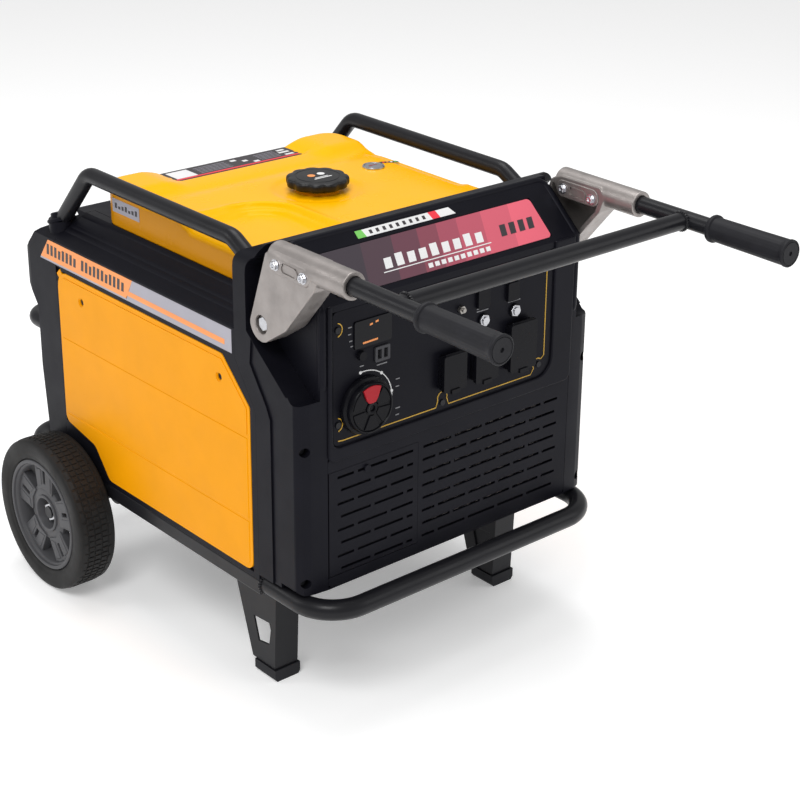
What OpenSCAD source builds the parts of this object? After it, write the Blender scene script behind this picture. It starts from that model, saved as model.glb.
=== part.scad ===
// Wheeled inverter generator: tubular base, moulded end caps, lift-up fold-down push handle.
// Millimetres. +X is the machine's left-to-right as seen facing the control panel,
// -Y is the control panel side, +Z is up, and the floor is z = 0.

/* [Body] */
// Half width over the moulded end caps
body_half_w = 280; // [276:1:284]
// Plane of the control panel and the front grille
front_y = -118; // [-122:1:-114]
// Rear face of the rear cap
rear_y = 552; // [548:1:556]
// Bottom edge of the panels
panel_z0 = 195; // [194:1:196]
// Top of the front cap
cap_top_z = 697; // [694:1:700]
// Wall of the moulded shells
wall = 4; // [3:0.5:5]

/* [Wheels] */
// Radius of the tyre
wheel_r = 125; // [122:1:126]
// Width of the tyre
tyre_w = 64; // [60:1:64]
// Outer side of the tyre, from the middle of the machine
wheel_out_x = 350; // [350:1:354]
// Distance of the axle behind the front leg
axle_y = 470; // [466:1:474]
// Radius of the axle
axle_r = 10; // [9:0.5:11]

/* [Handle] */
// Radius of the handle tubes
handle_r = 12.5; // [11.5:0.5:13]
// Half distance between the two handle arms
handle_x = 264; // [264:1:267]
// Height of the arms with the handle up
handle_z = 692; // [690:1:694]
// Height of the fold pivot
pivot_z = 590; // [588:1:592]
// Place of the fold pivot along Y
pivot_y = -38; // [-40:1:-36]
// Place of the cross tube along Y
cross_y = -300; // [-306:1:-294]
// Free end of the grips
grip_end_y = -484; // [-486:1:-482]
// Length of a grip
grip_len = 138; // [130:1:142]

/* [Tubes] */
// Radius of the bumper tubes
bumper_r = 15; // [14:0.5:15]
// Height of the bumper tubes
bumper_z = 186; // [185:1:187]
// Radius of the lifting rails over the sides
rail_r = 12.5; // [11.5:0.5:13]
// Height of the lifting rails
rail_z = 681; // [678:1:684]

/* [Hidden] */
$fn = 48;
eps = 0.01;
clear = 0.1; // running clearance on a radius
slide = 0.4; // clearance of a part that slides in a moulded opening

axle_z = wheel_r;
rear_bumper_y = 625;
rear_handle_y = 628;
rear_handle_z = 398;
origin_y = (grip_end_y + rear_handle_y + rail_r) / 2; // middle of the whole length

black = "#232427";
steel_black = "#1d1e20";
yellow = "#f5a81c";
tank_yellow = "#ffc400";
cast = "#a9a39d";
zinc = "#c9cbd0";
rubber = "#2b2b2d";

// ---------- helpers ----------

// points on an arc, angles in degrees
function arc(c, r, a0, a1, n = 6) =
    [for (i = [0:n]) let (a = a0 + (a1 - a0) * i / n) c + r * [cos(a), sin(a)]];

// rectangle from low to high corner with rounded corners
function round_rect(lo, hi, r, n = 5) = concat(
    arc([hi.x - r, hi.y - r], r, 0, 90, n), arc([lo.x + r, hi.y - r], r, 90, 180, n),
    arc([lo.x + r, lo.y + r], r, 180, 270, n), arc([hi.x - r, lo.y + r], r, 270, 360, n));

function unit(v) = v / norm(v);

// extrudes a YZ outline along X, from x0 to x1
module along_x(x0, x1) { translate([x0, 0, 0]) rotate([90, 0, 90]) linear_extrude(x1 - x0) children(); }

// extrudes an XZ outline along Y, from y0 to y1
module along_y(y0, y1) { translate([0, y1, 0]) rotate([90, 0, 0]) linear_extrude(y1 - y0) children(); }

// round pin along X at p = [y, z], from x0 to x1
module pin_x(p, r, x0, x1, fn = 48) {
    translate([x0, p.x, p.y]) rotate([0, 90, 0]) cylinder(r = r, h = x1 - x0, $fn = fn);
}

// round pin along Y at p = [x, z], from y0 to y1
module pin_y(p, r, y0, y1, fn = 48) {
    translate([p.x, y0, p.y]) rotate([-90, 0, 0]) cylinder(r = r, h = y1 - y0, $fn = fn);
}

module rod(a, b, r) {
    d = b - a;
    translate(a) rotate([0, acos(d.z / norm(d)), atan2(d.y, d.x)]) cylinder(r = r, h = norm(d));
}

// quarter or part bend that starts at p going along d1 and turns towards d2
module bend(p, d1, d2, bend_r, r) {
    a = acos(d1 * d2);
    n = (d2 - d1 * cos(a)) / sin(a);
    z = cross(-n, d1);
    c = p + n * bend_r;
    multmatrix([[-n.x, d1.x, z.x, c.x], [-n.y, d1.y, z.y, c.y], [-n.z, d1.z, z.z, c.z], [0, 0, 0, 1]])
        rotate_extrude(angle = a) translate([bend_r, 0]) circle(r = r);
}

// round bar along points, with every corner bent to bend_r; the bends are drawn a hair
// fuller than the straights, which run a little way into them
bend_more = 0.2;
into_bend = 0.5;
module bar_path(p, bend_r, r) {
    last = len(p) - 1;
    dir = [for (i = [0:last - 1]) unit(p[i + 1] - p[i])];
    cut = [for (i = [0:last]) i == 0 || i == last ? into_bend : bend_r * tan(acos(dir[i - 1] * dir[i]) / 2)];
    for (i = [0:last - 1])
        rod(p[i] + dir[i] * (cut[i] - into_bend), p[i + 1] - dir[i] * (cut[i + 1] - into_bend), r);
    for (i = [1:last - 1])
        bend(p[i] - dir[i - 1] * cut[i], dir[i - 1], dir[i], bend_r, r + bend_more);
}

module pipe_path(p, bend_r, r, t = 2) {
    difference() {
        bar_path(p, bend_r, r);
        bar_path(p, bend_r, r - t);
    }
}

module both_sides() { children(); mirror([1, 0, 0]) children(); }

// ---------- frame ----------

rail_x = 265; // middle of the side rails of the base
rail_end_y = 560;
bar_y = -21.5; // rear edge of the front cap, low down
hoop_y = 24; // rear edge of the front cap, high up
rear_cap_y = 490; // front edge of the rear cap

rail_z0 = 171; // underside of the base rails
rail_half_w = 15;
member_half_w = 44; // half width of the channel-shaped cross members
member_y = [48, axle_y];

module base_frame() color(steel_black) {
    both_sides() along_y(bar_y, rail_end_y) difference() {
        polygon(round_rect([rail_x - rail_half_w, rail_z0], [rail_x + rail_half_w, panel_z0], 3));
        polygon(round_rect([rail_x - rail_half_w + 2, rail_z0 + 2],
            [rail_x + rail_half_w - 2, panel_z0 - 2.5], 2));
    }
    for (y = member_y) translate([0, y, 0]) along_x(14 - rail_x, rail_x - 14) difference() {
        translate([-member_half_w, rail_z0]) square([2 * member_half_w, panel_z0 - 5 - rail_z0]);
        translate([3 - member_half_w, rail_z0 + 3]) square([2 * member_half_w - 6, panel_z0 - rail_z0]);
    }
    both_sides() axle_bracket();
}

// plate that hangs from the rear cross member and holds the axle
module axle_bracket() {
    difference() {
        along_x(205, 211) polygon(concat([[axle_y + 42, rail_z0 + 2], [axle_y - 42, rail_z0 + 2]],
            arc([axle_y, axle_z], 24, 200, 340, 8)));
        pin_x([axle_y, axle_z], axle_r + clear / 2, 200, 220);
    }
}

module bumper(y, out) color(steel_black) {
    start = out > 0 ? rail_end_y : bar_y;
    pipe_path([[-rail_x, start, bumper_z], [-rail_x, y, bumper_z], [rail_x, y, bumper_z],
        [rail_x, start, bumper_z]], out > 0 ? 40 : 62, bumper_r, 2.5);
}

module front_bumper() { bumper(-155, -1); }
module rear_bumper() { bumper(rear_bumper_y, 1); }

module rear_handle() color(steel_black)
    pipe_path([[-255, rear_y + 0.5, rear_handle_z], [-255, rear_handle_y, rear_handle_z],
        [255, rear_handle_y, rear_handle_z], [255, rear_y + 0.5, rear_handle_z]], 34, rail_r, 2);

// a lifting rail rises from the front cap, runs back level and slopes down to the rear cap
module lifting_rail(s) color(steel_black) {
    x = 252 * s;
    difference() {
        pipe_path([[x, hoop_y - 26, 642], [x, 60, rail_z], [x, 424, rail_z], [x, 527, 566]], 26, rail_r, 2);
        translate([x - 20, hoop_y - 60, 600]) cube([40, 60, 100]);
        translate([x - 20, 480, 500]) cube([40, 90, 90]);
    }
}
module lifting_rail_left() { lifting_rail(-1); }
module lifting_rail_right() { lifting_rail(1); }

// ---------- legs, feet, axle ----------

leg_x0 = 240; // outer side of a leg
leg_x1 = 198; // inner side of a leg
leg_t = 3;
leg_outline = [[0, 20], [55, 20], [92, 135], [92, rail_z0], [4, rail_z0], [-6, 150]]; // as [y, z]
leg_window = [[50, 91], [8, 94], [14, 57], [39, 53]];

module leg(s) color(steel_black) mirror([s < 0 ? 1 : 0, 0, 0]) {
    for (x = [leg_x1, leg_x0 - leg_t]) difference() {
        along_x(x, x + leg_t) polygon(leg_outline);
        along_x(x - 1, x + leg_t + 1) polygon(leg_window);
    }
    along_x(leg_x1 + 2, leg_x0 - 2) {
        polygon([[0, 20], [3, 20], [-3, 150], [7, 171], [4, 171], [-6, 150]]);
        polygon([[3.5, 168], [92, 168], [92, 171], [5, 171]]);
        polygon([[0.5, 20], [55, 20], [55, 23], [0.5, 23]]);
    }
}
module leg_left() { leg(-1); }
module leg_right() { leg(1); }

module rubber_feet() color(rubber) both_sides()
    difference() {
        translate([leg_x1 - 2, 0, 0]) along_y(-3, 47) polygon([[4, 0], [leg_x0 - leg_x1, 0],
            [leg_x0 - leg_x1 + 4, 5], [leg_x0 - leg_x1 + 4, 19.5], [0, 19.5], [0, 5]]);
        translate([(leg_x0 + leg_x1) / 2, 22, 6]) cylinder(r = 8, h = 20);
    }

hub_floor = 28; // depth of the hub recess from the outer side of the tyre

module axle() color(zinc) {
    end = wheel_out_x - hub_floor + 12;
    collar_x = wheel_out_x - tyre_w / 2 - 30;
    pin_x([axle_y, axle_z], axle_r, -end, end);
    both_sides() pin_x([axle_y, axle_z], 16, collar_x, collar_x + 6.7);
}

// washer and nut that hold each wheel on
module axle_nuts() color(zinc) both_sides()
    translate([wheel_out_x - hub_floor + 0.3, axle_y, axle_z]) rotate([0, 90, 0]) difference() {
        union() {
            cylinder(r = 17, h = 2.5);
            translate([0, 0, 2.5]) cylinder(r = 15, h = 7, $fn = 6);
        }
        translate([0, 0, -1]) cylinder(r = axle_r + clear / 2, h = 20);
    }

// ---------- wheels ----------

rim_r = 92;
spoke_n = 5;
tread_n = 36; // tread grooves on each shoulder
spoke_gap = [[33, 0.01], [38, 14], [72, 36], [80, 18]]; // half outline of the window between two spokes

module at_wheel(s) {
    translate([s * (wheel_out_x - tyre_w / 2), axle_y, axle_z]) rotate([0, s * 90, 0]) children();
}

module tyre(s) color(rubber) at_wheel(s) {
    h = tyre_w / 2;
    difference() {
        rotate_extrude($fn = 96) polygon(concat([[rim_r, -h + 6], [rim_r, h - 6]],
            arc([rim_r + 6, h - 6], 6, 180, 90, 3), arc([wheel_r - 9, h - 9], 9, 90, 20, 4),
            arc([wheel_r - 9, 9 - h], 9, -20, -90, 4), arc([rim_r + 6, 6 - h], 6, 270, 180, 3)));
        for (i = [0:tread_n - 1], e = [-1, 1]) rotate([0, 0, (i + (e > 0 ? 0.5 : 0)) * 360 / tread_n])
            translate([wheel_r - 3.5, -1.6, e > 0 ? 6 : -h - 1]) cube([6, 3.2, h - 5]);
    }
}

module rim(s) color(black) at_wheel(s) difference() {
    union() {
        rotate_extrude($fn = 96) polygon([[rim_r - 7, -24], [rim_r, -24], [rim_r, 24], [rim_r - 7, 24]]);
        cylinder(r = 27, h = 46, center = true);
        translate([0, 0, 2]) cylinder(r = rim_r - 6, h = 10, center = true);
    }
    for (i = [0:spoke_n - 1]) rotate([0, 0, i * 360 / spoke_n]) translate([0, 0, -20])
        linear_extrude(40)
            polygon(concat([for (p = spoke_gap) [p.x, -p.y]], [for (i = [3:-1:0]) spoke_gap[i]]));
    translate([0, 0, tyre_w / 2 - hub_floor]) cylinder(r = 20, h = 30);
    cylinder(r = axle_r + clear * 0.8, h = 100, center = true);
}
module tyre_left() { tyre(-1); }
module tyre_right() { tyre(1); }
module rim_left() { rim(-1); }
module rim_right() { rim(1); }

// ---------- shells ----------

slope_z = 626; // foot of the sloping nameplate face
pocket_x = 243; // side wall of the pockets that the handle brackets fold in
hoop_z = 655; // where the hoop starts to round over at the top

// side outline of the front cap, as [y, z]
cap_side = concat([[bar_y, 204], [bar_y, 452], [-17, 464], [hoop_y, 522], [hoop_y, hoop_z]],
    arc([hoop_y - 32, hoop_z], 32, 15, 75, 4), [[-20, cap_top_z - 2], [-38, cap_top_z]],
    [[front_y, slope_z], [front_y, 204]]);

// the same outline one wall further in, open towards the rear
cap_side_in = [[hoop_y + 10, 208], [hoop_y + 10, cap_top_z - 6], [-36, cap_top_z - 6],
    [-104, slope_z + 1], [-104, 208]];

// plan of the front cap, as [x, y]: the pillars sweep back from the front plane
cap_plan_right = [[232, front_y], [258, front_y + 3], [270, front_y + 7], [277, front_y + 15],
    [body_half_w, front_y + 30], [body_half_w, 60]];
cap_plan = concat([for (i = [5:-1:0]) [-cap_plan_right[i].x, cap_plan_right[i].y]], cap_plan_right);

// the pocket beside the handle bracket, as [y, z]
pocket = concat([[-4, 571], [-10, 566], [-90, 501]], arc([-106, 512], 20, 300, 250, 3),
    [[-150, 508], [-200, 620], [-100, 720], [-34, 720]], arc([-34, 652], 30, 66, 0, 5));

// flat on the outer side of a pillar, as [y, z]
pillar_flat = [[-130, 200], [-54, 200], [-54, 455], [-46, 472], [-10, 525], [-14, 562], [-90, 501],
    [-110, 491], [-130, 491]];
pillar_screw_x = 266;
pillar_screw_z = [223, 424];
pillar_seat_y = -100; // floor of the screw recesses in the pillars
plate_lo = [-222, 421]; // corners of the control panel, as [x, z]
plate_hi = [188, 616];

module front_cap() color(black) difference() {
    intersection() {
        along_x(-body_half_w, body_half_w) polygon(cap_side);
        linear_extrude(cap_top_z + 10) polygon(cap_plan);
    }
    along_x(-pocket_x + wall, pocket_x - wall) polygon(cap_side_in);
    along_x(wall - body_half_w, body_half_w - wall)
        polygon([[-95, 208], [hoop_y, 208], [hoop_y, 440], [-95, 440]]);
    both_sides() along_x(pocket_x, body_half_w + 1) polygon(pocket);
    both_sides() along_x(body_half_w - 2.5, body_half_w + 1) polygon(pillar_flat);
    // seats of the grille and the control panel, and the openings behind them
    translate([-232, front_y - 1, 206.5]) cube([464, 5, 198]);
    translate([plate_lo.x - slide, front_y - 1, plate_lo.y - slide])
        cube([plate_hi.x - plate_lo.x + 2 * slide, 5, plate_hi.y - plate_lo.y + 2 * slide]);
    translate([-218, front_y, 430]) cube([400, 30, 178]);
    translate([-50, front_y, 225]) cube([265, 30, 150]);
    translate([-222, front_y, 228]) cube([148, 30, 150]);
    on_slope(44) translate([banner_x - 200, -34, -1.5]) cube([400, 68, 5]);
    both_sides() for (z = pillar_screw_z) pin_y([pillar_screw_x, z], 7, pillar_seat_y - 40, pillar_seat_y);
    both_sides() pin_x([pivot_y, pivot_z], 6 + clear / 2, pocket_x - 10, pocket_x + 10);
}

slope_angle = atan2(cap_top_z - slope_z, -38 - front_y);

// local frame on the sloping face: x across, y up the slope, z outwards; d is the distance up the slope
module on_slope(d) {
    translate([0, front_y, slope_z]) rotate([slope_angle, 0, 0]) translate([0, d, 0]) children();
}
banner_x = -8.5; // middle of the nameplate across the machine

// across the machine at the rear, as [x, z]
deck_in_x = 222; // where the deck meets the tank
deck_in_z = 598;
deck_out_z = 565;
body_cross = [[body_half_w, panel_z0], [body_half_w, deck_out_z], [deck_in_x, deck_in_z],
    [-deck_in_x, deck_in_z], [-body_half_w, deck_out_z], [-body_half_w, panel_z0]];
deck_strip_x = 205; // inner edge of the deck strips of the side panels

tank_rear_y = 441;
ledge_y = tank_rear_y + 1; // front edge of the rear cap's ledge behind the tank
rail_foot = [252, 511]; // foot of a lifting rail on the rear cap, as [x, y]

// side outline of the rear cap with its rounded bulge, as [y, z]
rear_side = [[rear_cap_y, panel_z0], [rear_y - 13, panel_z0], [rear_y, 340], [rear_y, 440],
    [rear_y + 27, 478], [rear_y + 40, 496], [rear_y + 40, 512], [rear_y + 24, 534],
    [rear_y - 8, 570], [rear_y - 52, 594],
    [520, deck_in_z], [ledge_y, deck_in_z], [ledge_y, deck_in_z - wall], [rear_cap_y, deck_in_z - wall]];
// hollow of the lower part and of the bulge
rear_side_in = [[rear_cap_y - 9, panel_z0 + wall], [rear_y - 17, panel_z0 + wall], [rear_y - wall, 340],
    [rear_y - wall, 530], [rear_cap_y - 9, 530]];
bulge_in = [[430, 500], [430, deck_in_z - wall], [518, deck_in_z - wall], [rear_y - 54, deck_in_z - 8],
    [rear_y - 12, 566], [rear_y + 20, 530], [rear_y + 34, 510], [rear_y + 34, 500]];

module rear_cap() color(black) difference() {
    union() {
        intersection() {
            along_x(-body_half_w, body_half_w) polygon(rear_side);
            along_y(400, 620) polygon(body_cross);
            linear_extrude(800) polygon(round_rect([-body_half_w, 300], [body_half_w, rear_y + 40], 24));
        }
        both_sides() translate([rail_foot.x, rail_foot.y, 540]) cylinder(r = 20, h = 50);
    }
    along_x(wall - body_half_w, body_half_w - wall) polygon(rear_side_in);
    along_x(12 - deck_in_x, deck_in_x - 12) polygon(bulge_in);
    // room for the deck strips of the side panels
    both_sides() translate([deck_strip_x - slide, ledge_y - 1, 500])
        cube([100, rear_cap_y - ledge_y + 1 + slide, 120]);
    // hot air outlet and the opening for the exhaust
    translate([-200, rear_y - 30, 240]) cube([400, 60, 180]);
    both_sides() pin_y([255, rear_handle_z], 5, rear_y - 20, rear_y + 20);
}

module rear_louvre() color(steel_black) {
    difference() {
        translate([-200, rear_y - 8, 240]) cube([400, 5, 180]);
        for (row = [0:6], i = [-3:3]) translate([i * 56 + (row % 2) * 12 - 28, rear_y - 9, 256 + row * 22])
            if (row < 3 || i < 1) cube([46, 8, 6]);
        pin_y(outlet_at, 18.3, rear_y - 9, rear_y - 1);
    }
}

// cross section of the side panel from its outer to its inner face, as [x, z]
shell_t = 5.6;
shell_cross = [[body_half_w, panel_z0], [body_half_w, deck_out_z], [deck_in_x, deck_in_z],
    [deck_strip_x, deck_in_z], [deck_strip_x, deck_in_z - wall], [deck_in_x - 1, deck_in_z - wall],
    [body_half_w - shell_t, deck_out_z - 2.4], [body_half_w - shell_t, panel_z0]];
// side outline of the panel, which follows the front cap's rear edge, as [y, z]
shell_side = [[bar_y, 150], [bar_y, 452], [-17, 464], [hoop_y, 522], [hoop_y, 700], [rear_cap_y, 700],
    [rear_cap_y, 150]];

cover_t = 3.6;
cover_in_x = body_half_w - cover_t; // seat of the coloured cover

// side panel, drawn for the right side
module side_shell() color(black) difference() {
    intersection() {
        along_y(bar_y, rear_cap_y) polygon(shell_cross);
        along_x(150, 300) polygon(shell_side);
    }
    // step in which the coloured cover sits
    along_x(cover_in_x, body_half_w + 1) {
        polygon(cover_outline(-0.6));
        polygon(cover_tab(0.6));
    }
    // opening behind the cover, for service
    along_x(200, 300) polygon([[70, 250], [380, 250], [410, 290], [410, 470], [70, 470]]);
}

// outline of the coloured side cover, as [y, z]; g shrinks it all round
cover_lo = [-8, 204];
cover_hi = [486, 519];
function cover_outline(g = 0) = [[cover_lo.x + g, cover_lo.y + g], [366, cover_lo.y + g], [404 - g, 251 + g],
    [cover_hi.x - g, 267 + g], [cover_hi.x - g, cover_hi.y - g - 16], [cover_hi.x - 14 - g, cover_hi.y - g],
    [54 + g, cover_hi.y - g], [cover_lo.x + g, 458 - g]];

// small tab at the upper rear corner, grown by g
function cover_tab(g = 0) = [[470, 510], [rear_cap_y - 0.6 + g, 510], [rear_cap_y - 0.6 + g, 524 + g],
    [478 - g, 524 + g]];

cover_screws = [[61, 482], [419, 485]];

module side_cover(s) color(yellow) mirror([s < 0 ? 1 : 0, 0, 0]) difference() {
    along_x(cover_in_x + 0.01, body_half_w) {
        polygon(cover_outline());
        polygon(cover_tab());
    }
    for (p = cover_screws) pin_x(p, 5, cover_in_x - 5, body_half_w + 5);
}

module side_panel_left() { mirror([1, 0, 0]) side_shell(); }
module side_panel_right() { side_shell(); }
module service_cover_left() { side_cover(-1); }
module service_cover_right() { side_cover(1); }

module belly_pan() color(steel_black) difference() {
    translate([-250, -18, panel_z0]) cube([500, rear_cap_y - 2 + 18, 2.5]);
    for (i = [-3:3]) translate([i * 60 - 20, 120, panel_z0 - 1]) cube([40, 8, 5]);
    for (i = [-3:3]) translate([i * 60 - 20, 150, panel_z0 - 1]) cube([40, 8, 5]);
}

// ---------- fuel tank ----------

tank_top_z = 657;
tank_front_y = -5;
cap_at = [21, 222]; // filler, as [x, y]
gauge_at = [158, 255];

module fuel_tank() color(tank_yellow) difference() {
    union() {
        translate([0, 0, deck_in_z]) linear_extrude(tank_top_z - deck_in_z - 8)
            polygon(round_rect([-deck_in_x, tank_front_y], [deck_in_x, tank_rear_y], 30));
        translate([0, 0, tank_top_z - 8 - eps]) linear_extrude(8 + eps)
            polygon(round_rect([7 - deck_in_x, tank_front_y + 7], [deck_in_x - 7, tank_rear_y - 7], 24));
        translate([0, 0, 520]) linear_extrude(deck_in_z - 520 + eps)
            polygon(round_rect([-190, 20], [190, tank_rear_y - 20], 30));
        translate([cap_at.x, cap_at.y, tank_top_z - eps]) cylinder(r = 34, h = 2 + eps);
    }
    difference() {
        translate([0, 0, 523]) linear_extrude(tank_top_z - 526)
            polygon(round_rect([-187, 23], [187, tank_rear_y - 23], 27));
        translate([cap_at.x, cap_at.y, 632]) cylinder(r = 26, h = 40);
    }
    translate([cap_at.x, cap_at.y, 600]) cylinder(r = 23, h = 80);
    translate([gauge_at.x, gauge_at.y, 600]) cylinder(r = 14, h = 80);
}

module fuel_gauge() color("#55565a") translate([gauge_at.x, gauge_at.y, 0]) {
    translate([0, 0, tank_top_z]) cylinder(r = 17.5, h = 4);
    translate([0, 0, 630]) cylinder(r = 14, h = tank_top_z - 630);
    translate([0, 0, 560]) cylinder(r = 3, h = 71);
}

module fuel_cap_seal() color(rubber) translate([cap_at.x, cap_at.y, tank_top_z + 2.3]) difference() {
    cylinder(r = 30, h = 2.5);
    translate([0, 0, -1]) cylinder(r = 22.5, h = 5);
}

module fuel_cap() color(black) translate([cap_at.x, cap_at.y, tank_top_z + 5]) difference() {
    union() {
        cylinder(r = 44, h = 13, $fn = 72);
        for (i = [0:9]) rotate([0, 0, i * 36]) translate([41, 0, 0]) cylinder(r = 7, h = 13, $fn = 24);
        translate([0, 0, -17]) cylinder(r = 22, h = 17 + eps);
    }
    translate([0, 0, -18]) cylinder(r = 18, h = 22);
}

// ---------- control panel ----------

plate_y = front_y + 4; // rear face of the control panel
dial_at = [-168, 470];
start_at = [-174, 544];
sockets = [[-34, 10, 454, 509], [27, 72, 452, 509], [95, 148, 450, 524]]; // x0, x1, z0, z1
buttons = [[51, 539], [112, 539]];
breakers = [[48, 573], [106, 570]];
display_box = [[-186, 555], [-121, 594]];
usb_box = [[-150, 527], [-124, 549]];
earth_at = [7, 566];

module hole(p, r) { pin_y(p, r, front_y - 20, front_y + 40); }
module window(box, g = 0) {
    translate([box[0].x - g, front_y - 20, box[0].y - g])
        cube([box[1].x - box[0].x + 2 * g, 60, box[1].y - box[0].y + 2 * g]);
}
function socket_box(s) = [[s[0], s[2]], [s[1], s[3]]];

module control_panel() color("#26262a") difference() {
    along_y(front_y, plate_y) polygon(round_rect(plate_lo, plate_hi, 8));
    hole(dial_at, 6 + clear);
    hole(start_at, 6.5 + slide);
    for (p = buttons) hole(p, 6 + slide);
    hole(earth_at, 3.05);
    window(display_box);
    window(usb_box);
    for (s = sockets) window(socket_box(s), -4);
    for (p = breakers) window([p - [11, 14], p + [11, 14]]);
}

module display_window() color("#101012") along_y(front_y - 2, plate_y + 12)
    polygon(round_rect(display_box[0], display_box[1], 3));

module usb_port() color("#151518") difference() {
    along_y(front_y - 2.5, plate_y + 10) polygon(round_rect(usb_box[0], usb_box[1], 2));
    for (x = [-146, -135]) translate([x, front_y - 3, 531]) cube([7, 8, 14]);
}

// round sockets with a recessed face, behind the lids
module socket_bodies() color("#1a1a1d") for (s = sockets) {
    c = [(s[0] + s[1]) / 2, (s[2] + s[3]) / 2 - 2];
    w = (s[1] - s[0]) / 2;
    difference() {
        union() {
            along_y(front_y - 7, front_y) polygon(round_rect([s[0], s[2]], [s[1], s[3] - 6], 4));
            along_y(front_y, plate_y + 26) polygon(round_rect([s[0] + 4, s[2] + 4], [s[1] - 4, s[3] - 4], 4));
        }
        pin_y(c, w - 5, front_y - 8, front_y + 8);
        for (i = [0:2]) pin_y(c + 9 * [cos(90 + i * 120), sin(90 + i * 120)], 2.4, front_y, front_y + 20);
    }
}

lid_t = 6;
function hinge_of(s) = [front_y - 9.5, s[3] - 2.5]; // hinge line of a lid, as [y, z]

module socket_lid(s) color("#1f1f22") {
    h = hinge_of(s);
    along_y(h.x - lid_t / 2 - 1, h.x + lid_t / 2 - 1.2)
        polygon(round_rect([s[0] + 0.5, s[2] - 3], [s[1] - 0.5, h.y], 4));
    pin_x(h, 2, s[0] + 5, s[1] - 5);
    translate([(s[0] + s[1]) / 2 - 8, h.x - lid_t / 2 - 3, s[2] - 6]) cube([16, 4, 6]);
}
module socket_lid_1() { socket_lid(sockets[0]); }
module socket_lid_2() { socket_lid(sockets[1]); }
module socket_lid_3() { socket_lid(sockets[2]); }

// thermal breakers with a rocker-shaped cover, and the sleeves of the round push buttons
module breaker_bodies() color("#17171a") {
    for (p = breakers) along_y(front_y - 5, plate_y + 24) polygon(round_rect(p - [11, 14], p + [11, 14], 3));
    for (p = buttons) difference() {
        pin_y(p, 10, front_y - 3, front_y);
        hole(p, 6 + slide);
    }
}

module breaker_button(p) color(zinc) {
    pin_y(p, 6, front_y - 7, plate_y + 14);
    pin_y(p, 8, plate_y + 10, plate_y + 14);
}
module breaker_button_1() { breaker_button(buttons[0]); }
module breaker_button_2() { breaker_button(buttons[1]); }

module start_button() color("#303034") {
    pin_y(start_at, 6.5, front_y - 6, plate_y + 12);
    pin_y(start_at, 8.5, plate_y + 8, plate_y + 12);
}

module earth_terminal() color(zinc) {
    pin_y(earth_at, 3, front_y - 9, plate_y + 10);
    pin_y(earth_at, 6, front_y - 5, front_y, 6);
}

module engine_dial() color("#2c2c30") {
    pin_y(dial_at, 6, front_y - 4, plate_y + 20);
    pin_y(dial_at, 42, front_y - 8, front_y - 0.6);
    difference() {
        pin_y(dial_at, 37, front_y - 18, front_y - 8);
        pin_y(dial_at, 5, front_y - 19, front_y - 12);
    }
}

module nameplate() color("#e04a5a") on_slope(44) translate([banner_x - 199.5, -33.5, -1.5])
    linear_extrude(2) polygon(round_rect([0, 0], [399, 67], 6));

// ---------- grille and battery door ----------

row_n = 8;
row_z0 = 230.4;
row_pitch = 20.3;
slot_len = 53;
slot_gap = 7;
slot_h = 4;
grille_z = [207, 404];
door_x = [-231, -69];
door_z = [222, 383];

// staggered rows of slots between x0 and x1
module slot_rows(x0, x1) for (row = [0:row_n - 1]) {
    pitch = slot_len + slot_gap;
    start = -209 + (row % 2) * pitch / 2 - pitch;
    for (i = [0:8]) {
        a = max(start + i * pitch, x0);
        b = min(start + i * pitch + slot_len, x1);
        if (b - a > 8)
            translate([a, front_y - 1, row_z0 + row * row_pitch - slot_h / 2]) cube([b - a, 6, slot_h]);
    }
}

module front_grille() color(black) difference() {
    along_y(front_y, front_y + 4) polygon(round_rect([-231.5, grille_z[0]], [231.5, grille_z[1]], 6));
    slot_rows(-60, 209);
    translate([door_x[0] - 5, front_y - 1, door_z[0] - slide])
        cube([door_x[1] - door_x[0] + 5 + slide, 6, door_z[1] - door_z[0] + 2 * slide]);
}

door_t = 3.5;
door_screw = [-163, 372];

// louvred door over the starter battery, hinged along its lower edge
module battery_door() color(black) {
    difference() {
        union() {
            along_y(front_y, front_y + door_t) translate([door_x[0] + 1, door_z[0] + door_t / 2])
                square([door_x[1] - door_x[0] - 1, door_z[1] - door_z[0] - door_t / 2]);
            pin_x([front_y + door_t / 2, door_z[0] + door_t / 2], door_t / 2, door_x[0] + 1, door_x[1]);
        }
        slot_rows(-215, -78);
        pin_y(door_screw, 2.5, front_y - 1, front_y + 5);
    }
    pin_y(door_screw, 2.5 - clear, front_y - 1.5, front_y + 8);
    pin_y(door_screw, 5.5, front_y - 3, front_y);
}

// screws of the control panel, of the pillars and of the side covers
plate_screws = [[-25, 432], [165, 440], [-214, 452], [-214, 590], [176, 606], [-25, 608]];
module cap_screws() color(steel_black) {
    for (p = plate_screws) pin_y(p, 4.5, front_y - 2, front_y);
    both_sides() for (z = pillar_screw_z) pin_y([pillar_screw_x, z], 5, pillar_seat_y - 4, pillar_seat_y);
    both_sides() for (p = cover_screws) pin_x(p, 4.6, cover_in_x, cover_in_x + 2);
}

// ---------- handle ----------

sleeve_y = [-215, -58];
bracket_x = [245, 280];
clamp_bolts = [[-77, 686], [-135, 684]]; // as [y, z]

bracket_outline = concat(arc([pivot_y, pivot_z], 25, 0, -112, 8),
    [[-91, 596], [-152, 668], [-160, 690], [-150, handle_z + 12], [-70, handle_z + 12], [-55, handle_z + 6],
    [-50, 694]]);
bracket_mid = [-75, 655];

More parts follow.
